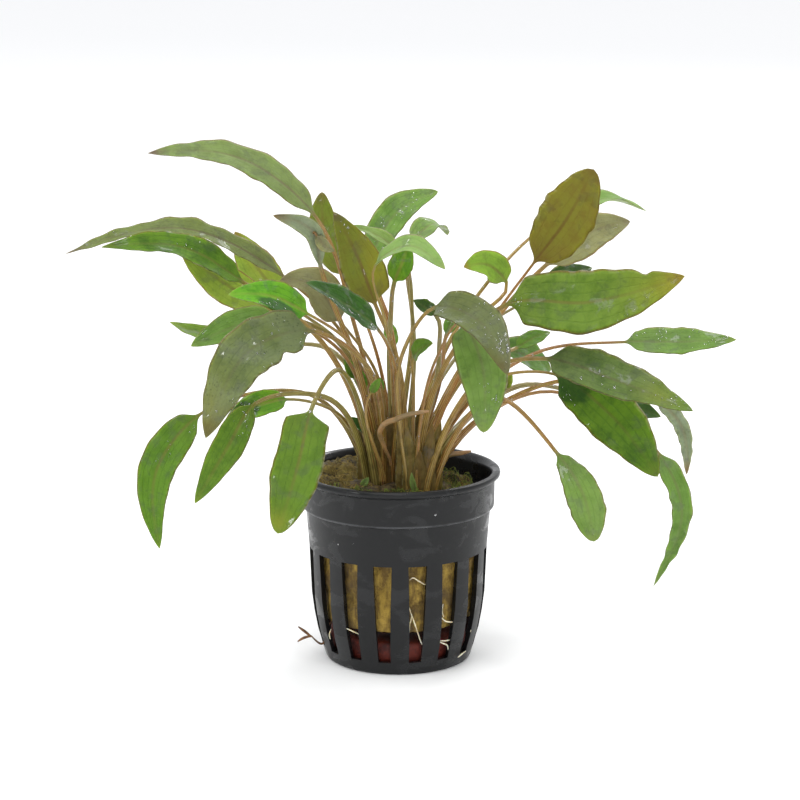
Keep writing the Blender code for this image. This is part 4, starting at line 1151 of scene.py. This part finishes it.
def make_wool_mesh():
    rows = len(WOOL_PROFILE) - 1
    shape = bmesh.new()
    grid = bmesh.ops.create_grid(shape, x_segments=WOOL_COLUMNS, y_segments=rows, size=0.5)["verts"]
    for vert in grid:
        column = round((vert.co.x + 0.5) * WOOL_COLUMNS) % WOOL_COLUMNS
        vert.co = wool_place(round((vert.co.y + 0.5) * rows), column) * MM
    bmesh.ops.remove_doubles(shape, verts=shape.verts[:], dist=0.000001)
    bmesh.ops.recalc_face_normals(shape, faces=shape.faces[:])
    mesh = bpy.data.meshes.new("wool")
    shape.to_mesh(mesh)
    shape.free()
    mesh.shade_smooth()
    return mesh


# %% Finish of the wool
def make_wool_finish():
    made = bpy.data.materials.new("rock_wool_wet")
    made.use_nodes = True
    tree = made.node_tree
    shader = tree.nodes["Principled BSDF"]
    place = place_on_object(tree)
    upright = mottle(tree, stretched(tree, place, (1.0, 1.0, 0.35)), 420.0, 5.0, 0.7)
    broad = mottle(tree, place, 110.0, 4.0, 0.6)
    fine = mottle(tree, place, 1600.0, 4.0, 0.7)
    felt = mixed(tree, stepped(tree, upright, 0.35, 0.68), paint("#6a5220"), paint("#b0923f"))
    felt = mixed(tree, stepped(tree, broad, 0.5, 0.66, 0.0, 0.75), felt, paint("#4c3a1c"))
    height = tree.nodes.new("ShaderNodeSeparateXYZ")
    wire(tree, height.inputs[0], place)
    clumps = mottle(tree, place, 230.0, 5.0, 0.7, 0.5)
    moss = mixed(tree, stepped(tree, clumps, 0.4, 0.58), paint("#2c2410"), paint("#75652c"))
    moss = mixed(tree, stepped(tree, upright, 0.5, 0.64, 0.0, 0.7), moss, paint("#9a8a42"))
    moss = mixed(tree, stepped(tree, broad, 0.52, 0.62, 0.0, 0.7), moss, paint("#35290f"))
    top = stepped(tree, height.outputs[2], 0.0445, 0.0465)
    colour = mixed(tree, top, felt, moss)
    colour = mixed(tree, stepped(tree, fine, 0.5, 0.8, 0.0, 0.35), colour, paint("#2c2210"))
    tree.links.new(colour, shader.inputs["Base Color"])
    tree.links.new(stepped(tree, broad, 0.3, 0.7, 0.95, 0.6), shader.inputs["Roughness"])
    bump = tree.nodes.new("ShaderNodeBump")
    bump.inputs["Strength"].default_value = 1.0
    bump.inputs["Distance"].default_value = 0.5 * MM
    tree.links.new(maths(tree, "ADD", fine, upright), bump.inputs["Height"])
    tree.links.new(bump.outputs[0], shader.inputs["Normal"])
    return made


wool_mesh = make_wool_mesh()
add_piece("torn_wool", wool_mesh, make_wool_finish(), "rock_wool", "wool_plug")
print("wool faces:", len(wool_mesh.polygons))


# %% [markdown]
# Threads of wool stand out of the torn top, mixed with moss. Each is a thin bent wire. A curve
# object can hold hundreds of them as separate splines with one thickness, and is made a mesh at
# the end.

# %% Bundle of thin round threads
def thread_mesh(name, lines, radius, sides=0):
    """Thin threads, one along each line of points in millimetres, tapered to both ends."""
    curve = bpy.data.curves.new(name, "CURVE")
    curve.dimensions = "3D"
    curve.bevel_depth = radius * MM
    curve.bevel_resolution = sides
    curve.use_fill_caps = True
    for line in lines:
        spline = curve.splines.new("POLY")
        spline.points.add(len(line) - 1)
        for place, (target, point) in enumerate(zip(spline.points, line)):
            target.co = (*(Vector(point) * MM), 1.0)
            target.radius = 1.0 - 0.6 * abs(2 * place / (len(line) - 1) - 1) ** 2
    holder = bpy.data.objects.new(name, curve)
    bpy.context.scene.collection.objects.link(holder)
    graph = bpy.context.evaluated_depsgraph_get()
    made = bpy.data.meshes.new_from_object(holder.evaluated_get(graph))
    bpy.data.objects.remove(holder, do_unlink=True)
    made.name = name
    made.shade_smooth()
    return made


# %% Threads on top of the wool
def scattered_threads(count, length, rise, seed, keep=lambda x, y: True):
    chance = random.Random(seed)
    lines = []
    while len(lines) < count:
        angle, radius = chance.uniform(0, 2 * math.pi), 23.0 * math.sqrt(chance.random())
        x, y = radius * math.cos(angle), radius * math.sin(angle)
        room = 22.6 - wool_hollow(angle, WOOL_TOP)
        if radius > room or not keep(x, y):
            continue
        way = chance.uniform(0, 2 * math.pi)
        bend = chance.uniform(-1.2, 1.2)
        step = length * chance.uniform(0.5, 1.2) / 4
        height = chance.uniform(0.2, 1.0) * rise
        line = []
        for place in range(5):
            share = place / 4
            line.append((x, y, wool_top(x, y) - 0.15 + height * math.sin(math.pi * min(share, 0.85))))
            way += bend * 0.35
            x += step * math.cos(way)
            y += step * math.sin(way)
            if math.hypot(x, y) > room:
                break
        if len(line) > 2:
            lines.append(line)
    return lines


wool_threads = thread_mesh("threads", scattered_threads(900, 5.0, 0.9, 11), 0.07)
thread_finish = earthy("wool_thread", "#3c2e12", "#a18a44", 180.0, 0.9, 0.05)
add_piece("wool_threads", wool_threads, thread_finish, "rock_wool")
print("thread faces:", len(wool_threads.polygons))


# %% Moss on the right and the front
moss_lines = scattered_threads(700, 2.4, 1.9, 23, keep=lambda x, y: x > 7 or y < -9)
moss_threads = thread_mesh("moss", moss_lines, 0.1)
moss_finish = earthy("moss_green", "#38401a", "#76822c", 220.0, 0.85, 0.05)
add_piece("moss_tufts", moss_threads, moss_finish, "rock_wool")
print("moss faces:", len(moss_threads.polygons))


# %% [markdown]
# The three crowns are short thick stems, half sunk in the wool and wrapped in the old bases of
# leaves. A cone with a few rings of faces, pushed about by noise, is enough, because the petioles
# hide most of each.

# %% The crowns
def make_crown_mesh(name, crown):
    shape = bmesh.new()
    middle = crown_centre(crown) + Vector((0, 0, 44.6))
    bmesh.ops.create_cone(
        shape, cap_ends=True, segments=28, radius1=4.6 * MM, radius2=6.6 * MM, depth=7.6 * MM,
        matrix=Matrix.Translation(middle * MM),
    )
    caps = [face for face in shape.faces if len(face.verts) > 4]
    bmesh.ops.poke(shape, faces=caps)
    bmesh.ops.subdivide_edges(shape, edges=shape.edges[:], cuts=3, use_grid_fill=True, smooth=0.3)
    mesh = bpy.data.meshes.new(name)
    shape.to_mesh(mesh)
    shape.free()
    return roughened(mesh, 0.9, 330.0, CROWN_TURNS[crown])


crown_finish = earthy("crown_stem_wet", "#2a200e", "#64522a", 350.0, 0.7, 0.3)
for crown in CROWN_TURNS:
    mesh = make_crown_mesh("stem_" + crown, crown)
    add_piece("rooted_crown_" + crown, mesh, crown_finish, "crown_stem", "crown_" + crown)
print("crowns:", len(CROWN_TURNS))


# %% [markdown]
# Two petioles lost their blades when the plant was trimmed. They lie in the clump, pinkish, with a
# pale cut end. A forked brown rootlet has found its way out of a slot, and fine white roots cross
# the slots in front of the wool.

# %% Cut petioles
CUT_PETIOLES = {
    "cut_petiole_front": (
        (-2.0, -6.0, 54.0), (-3.6, -10.0, 60.0), (-4.8, -13.0, 65.0), (-3.5, -14.8, 67.5), (-0.5, -16.0, 69.0),
        (2.6, -17.0, 70.4), (5.7, -17.5, 71.2), (8.1, -17.5, 71.5),
    ),
    "cut_petiole_right": ((9.4, -4.0, 51.4), (11.2, -3.7, 54.9), (13.3, -3.0, 56.1), (16.5, -2.5, 56.6), (19.5, -2.0, 57.0)),
}
CUT_RADIUS = 0.75


def make_stalk_finish(name, low, high):
    made = bpy.data.materials.new(name)
    made.use_nodes = True
    tree = made.node_tree
    shader = tree.nodes["Principled BSDF"]
    place = place_on_object(tree)
    streak = mottle(tree, place, 260.0, 4.0, 0.6)
    tree.links.new(mixed(tree, stepped(tree, streak, 0.35, 0.65), paint(low), paint(high)), shader.inputs["Base Color"])
    tree.links.new(stepped(tree, streak, 0.3, 0.7, 0.3, 0.5), shader.inputs["Roughness"])
    shader.inputs["Subsurface Weight"].default_value = 0.3
    shader.inputs["Subsurface Radius"].default_value = (1.0, 0.6, 0.3)
    shader.inputs["Subsurface Scale"].default_value = 0.8 * MM
    return made


stalk_finish = make_stalk_finish("cut_stalk_pink", "#74603a", "#a27c50")
for name, points in CUT_PETIOLES.items():
    path = curve_through(points, (0, 0, 1), 10)
    mesh = thread_mesh(name + "_skin", [path.tolist()], CUT_RADIUS, 3)
    add_piece("trimmed_" + name[4:], mesh, stalk_finish, "petiole_tan", name)

# %% Rootlet and white roots
ROOTLET_LINES = (
    ((-17.6, -3.9, 10.0), (-18.9, -4.2, 8.2), (-19.3, -4.3, 5.7), (-20.4, -4.5, 4.0), (-23.6, -5.0, 6.4)),
    ((-23.2, -5.0, 6.1), (-25.2, -5.3, 7.6), (-27.0, -5.6, 9.1)),
    ((-23.2, -5.0, 6.1), (-25.4, -5.4, 5.9), (-27.2, -5.8, 4.9)),
)
WHITE_ROOTS = (
    ((3.0, -22.1, 27.1), (3.8, -22.0, 27.6), (5.4, -21.7, 26.7), (7.1, -21.2, 25.6), (8.6, -20.6, 25.2)),
    ((2.4, -22.2, 21.5), (2.9, -22.2, 19.5), (3.7, -22.0, 17.0), (4.5, -21.9, 14.7), (5.3, -20.5, 11.8), (6.1, -20.3, 9.4), (6.9, -20.1, 8.0)),
    ((3.6, -22.1, 17.8), (3.4, -22.0, 16.4), (3.1, -22.1, 15.1), (3.0, -21.0, 12.4)),
    ((9.6, -20.2, 17.6), (11.1, -19.4, 16.4), (12.4, -18.6, 14.8), (13.8, -17.6, 14.2), (15.4, -16.2, 13.9), (17.0, -14.8, 14.4)),
    ((11.9, -18.9, 19.6), (11.6, -19.1, 17.7), (12.1, -18.8, 15.9)),
    ((9.9, -18.8, 9.6), (11.9, -17.5, 8.2), (13.0, -16.7, 7.5), (13.3, -16.5, 6.1)),
    ((11.1, -18.0, 9.1), (12.7, -17.0, 8.8), (14.4, -15.6, 8.8)),
    ((-14.2, -17.4, 12.6), (-12.0, -18.9, 12.0), (-10.9, -18.2, 11.3), (-9.6, -18.6, 10.6)),
    ((-17.9, -13.3, 10.9), (-18.4, -11.7, 8.7), (-18.2, -11.0, 7.3)),
    ((19.5, -10.8, 9.8), (19.3, -8.7, 7.4), (19.0, -8.0, 5.4)),
    ((16.0, -13.8, 3.1), (16.8, -12.9, 3.5), (18.2, -10.8, 3.9)),
    ((8.6, -19.6, 48.4), (10.4, -20.2, 49.0), (12.6, -19.4, 48.6)),
)
rootlet_mesh = thread_mesh("rootlet_skin", [curve_through(line, (-1, 0, 0.2), 6).tolist() for line in ROOTLET_LINES], 0.4, 2)
rootlet_finish = earthy("rootlet_bark", "#4c301c", "#86603c", 500.0, 0.7, 0.1)
add_piece("forked_rootlet", rootlet_mesh, rootlet_finish, "root_brown", "rootlet_brown")
root_lines = [curve_through(line, Vector(line[1]) - Vector(line[0]), 5).tolist() for line in WHITE_ROOTS]
root_mesh = thread_mesh("white_roots_skin", root_lines, 0.2, 1)
add_piece("white_roots", root_mesh, make_stalk_finish("root_white", "#cdbb92", "#efe6cc"), "root_brown")
print("rootlet faces:", len(rootlet_mesh.polygons))


# %% [markdown]
# The plant has just been lifted from water, so drops hang on its leaves: rows of small ones beside
# the veins, and big ones at margins and tips. A drop is a flattened dome. One dome is cut from a
# sphere, and its copies are laid on the skins of the leaves and joined in one mesh.

# %% One drop
def dome_mesh():
    shape = bmesh.new()
    bmesh.ops.create_uvsphere(shape, u_segments=10, v_segments=8, radius=1.0)
    everything = shape.verts[:] + shape.edges[:] + shape.faces[:]
    bmesh.ops.bisect_plane(
        shape, geom=everything, dist=0.0001, plane_co=(0, 0, -0.05), plane_no=(0, 0, 1), clear_inner=True
    )
    bmesh.ops.holes_fill(shape, edges=[edge for edge in shape.edges if edge.is_boundary], sides=0)
    mesh = bpy.data.meshes.new("dome")
    shape.to_mesh(mesh)
    shape.free()
    return mesh


def skin_point(name, share, across):
    """A place on the upper side of a leaf and the way out of it."""
    shares, places = skins[name]
    row = min(max(float(np.interp(share, shares, np.arange(len(shares)))), 1.0), len(shares) - 2.001)
    column = min(max((across + 1) / 2 * RING_HALF, 0.5), RING_HALF - 0.501)
    low_row, low_column = int(row), int(column)
    mixed_rows = places[low_row] * (1 - row + low_row) + places[low_row + 1] * (row - low_row)
    point = mixed_rows[low_column] * (1 - column + low_column) + mixed_rows[low_column + 1] * (column - low_column)
    sideways = mixed_rows[low_column + 1] - mixed_rows[low_column]
    onwards = places[low_row + 1, low_column] - places[low_row, low_column]
    return Vector(point), Vector(np.cross(sideways, onwards)).normalized()


# %% Drops on the leaves and the pot
Wetting = namedtuple("Wetting", "leaf count along_from along_to across_from across_to small big")
WETTINGS = (
    Wetting(15, 34, 0.12, 0.8, -0.55, 0.65, 0.12, 0.34),
    Wetting(14, 40, 0.02, 0.7, -1.0, -0.2, 0.14, 0.5),
    Wetting(10, 12, 0.02, 0.3, -0.9, 0.9, 0.15, 0.5),
    Wetting(10, 12, 0.3, 0.95, -0.95, 0.95, 0.12, 0.35),
    Wetting(26, 46, 0.08, 0.95, -0.8, 0.8, 0.12, 0.34),
    Wetting(27, 9, 0.34, 0.5, -0.4, 0.7, 0.25, 0.6),
    Wetting(27, 22, 0.55, 0.97, -0.9, 0.2, 0.12, 0.32),
    Wetting(31, 44, 0.1, 0.95, -0.9, 0.9, 0.12, 0.36),
    Wetting(31, 14, 0.55, 0.85, -0.9, 0.0, 0.25, 0.55),
    Wetting(43, 16, 0.45, 0.98, -0.8, 0.8, 0.2, 0.6),
    Wetting(45, 12, 0.05, 0.5, -0.9, 0.9, 0.14, 0.4),
    Wetting(8, 18, 0.2, 0.75, -0.85, -0.1, 0.14, 0.36),
    Wetting(24, 8, 0.04, 0.16, -0.5, 0.3, 0.14, 0.34),
    Wetting(24, 6, 0.55, 0.8, 0.6, 0.95, 0.12, 0.26),
    Wetting(38, 16, 0.5, 0.97, -0.9, 0.9, 0.12, 0.34),
    Wetting(46, 12, 0.05, 0.5, -0.9, 0.9, 0.12, 0.3),
    Wetting(44, 8, 0.0, 0.2, -0.6, 0.6, 0.15, 0.4),
    Wetting(3, 10, 0.78, 0.98, -0.8, 0.8, 0.15, 0.4),
    Wetting(5, 7, 0.5, 0.9, -0.9, 0.9, 0.12, 0.25),
    Wetting(6, 6, 0.3, 0.8, -0.9, 0.9, 0.12, 0.26),
    Wetting(9, 8, 0.2, 0.9, -0.8, 0.8, 0.1, 0.25),
    Wetting(30, 8, 0.05, 0.4, -0.9, 0.9, 0.12, 0.35),
    Wetting(23, 8, 0.4, 0.9, -0.8, 0.8, 0.1, 0.22),
)
PETIOLE_DROPS = 90
POT_DROPS = 16


def drop_places():
    """Point in metres, way out, radius and stretch for each drop."""
    chance = random.Random(5)
    for wetting in WETTINGS:
        for drop in range(wetting.count):
            if drop == 0 or chance.random() < 0.4:
                cluster_share = chance.uniform(wetting.along_from, wetting.along_to)
                cluster_across = chance.uniform(wetting.across_from, wetting.across_to)
            share = min(0.97, max(0.02, chance.gauss(cluster_share, 0.025)))
            across = min(0.95, max(-0.95, chance.gauss(cluster_across, 0.12)))
            size = 0.85 * (wetting.small + (wetting.big - wetting.small) * chance.random() ** 2)
            point, out = skin_point(f"grown_leaf_{wetting.leaf:02d}", share, across)
            yield point * MM, out, size * MM, chance.uniform(1.0, 1.7)
    for _ in range(PETIOLE_DROPS):
        number = chance.choice(LEAVES).number
        point, out = skin_point(f"grown_leaf_{number:02d}", chance.uniform(-0.8, -0.05), chance.uniform(-0.6, 0.6))
        yield point * MM, out, chance.uniform(0.12, 0.32) * MM, 1.2
    for _ in range(POT_DROPS):
        turn = chance.uniform(0, 2 * math.pi)
        height = chance.uniform(33.0, 47.5)
        radius = COLLAR_RADIUS if height > COLLAR_BOTTOM + 1.5 else BODY_RADIUS - 0.4
        out = Vector((math.cos(turn), math.sin(turn), 0))
        size = chance.uniform(0.15, 0.3) * MM
        yield out * radius * MM + Vector((0, 0, height * MM)), out, size, chance.uniform(1.0, 1.4)


def make_drops():
    dome = dome_mesh()
    shape = bmesh.new()
    for point, out, radius, stretch in drop_places():
        known = len(shape.verts)
        shape.from_mesh(dome)
        shape.verts.ensure_lookup_table()
        turn = out.to_track_quat("Z", "Y").to_matrix().to_4x4()
        size = Matrix.Diagonal((radius, radius * stretch, radius * 0.5, 1.0))
        bmesh.ops.transform(shape, matrix=Matrix.Translation(point) @ turn @ size, verts=shape.verts[known:])
    mesh = bpy.data.meshes.new("drops")
    shape.to_mesh(mesh)
    shape.free()
    mesh.shade_smooth()
    bpy.data.meshes.remove(dome)
    return mesh


def make_water():
    made = bpy.data.materials.new("clear_water")
    made.use_nodes = True
    shader = made.node_tree.nodes["Principled BSDF"]
    shader.inputs["Base Color"].default_value = (1.0, 1.0, 1.0, 1.0)
    shader.inputs["Roughness"].default_value = 0.02
    shader.inputs["IOR"].default_value = 1.33
    shader.inputs["Transmission Weight"].default_value = 1.0
    shader.inputs["Coat Weight"].default_value = 1.0
    shader.inputs["Coat IOR"].default_value = 2.1
    shader.inputs["Coat Roughness"].default_value = 0.12
    return made


drop_mesh = make_drops()
add_piece("water_drops", drop_mesh, make_water(), "leaf_fresh_green")
print("drop faces:", len(drop_mesh.polygons))
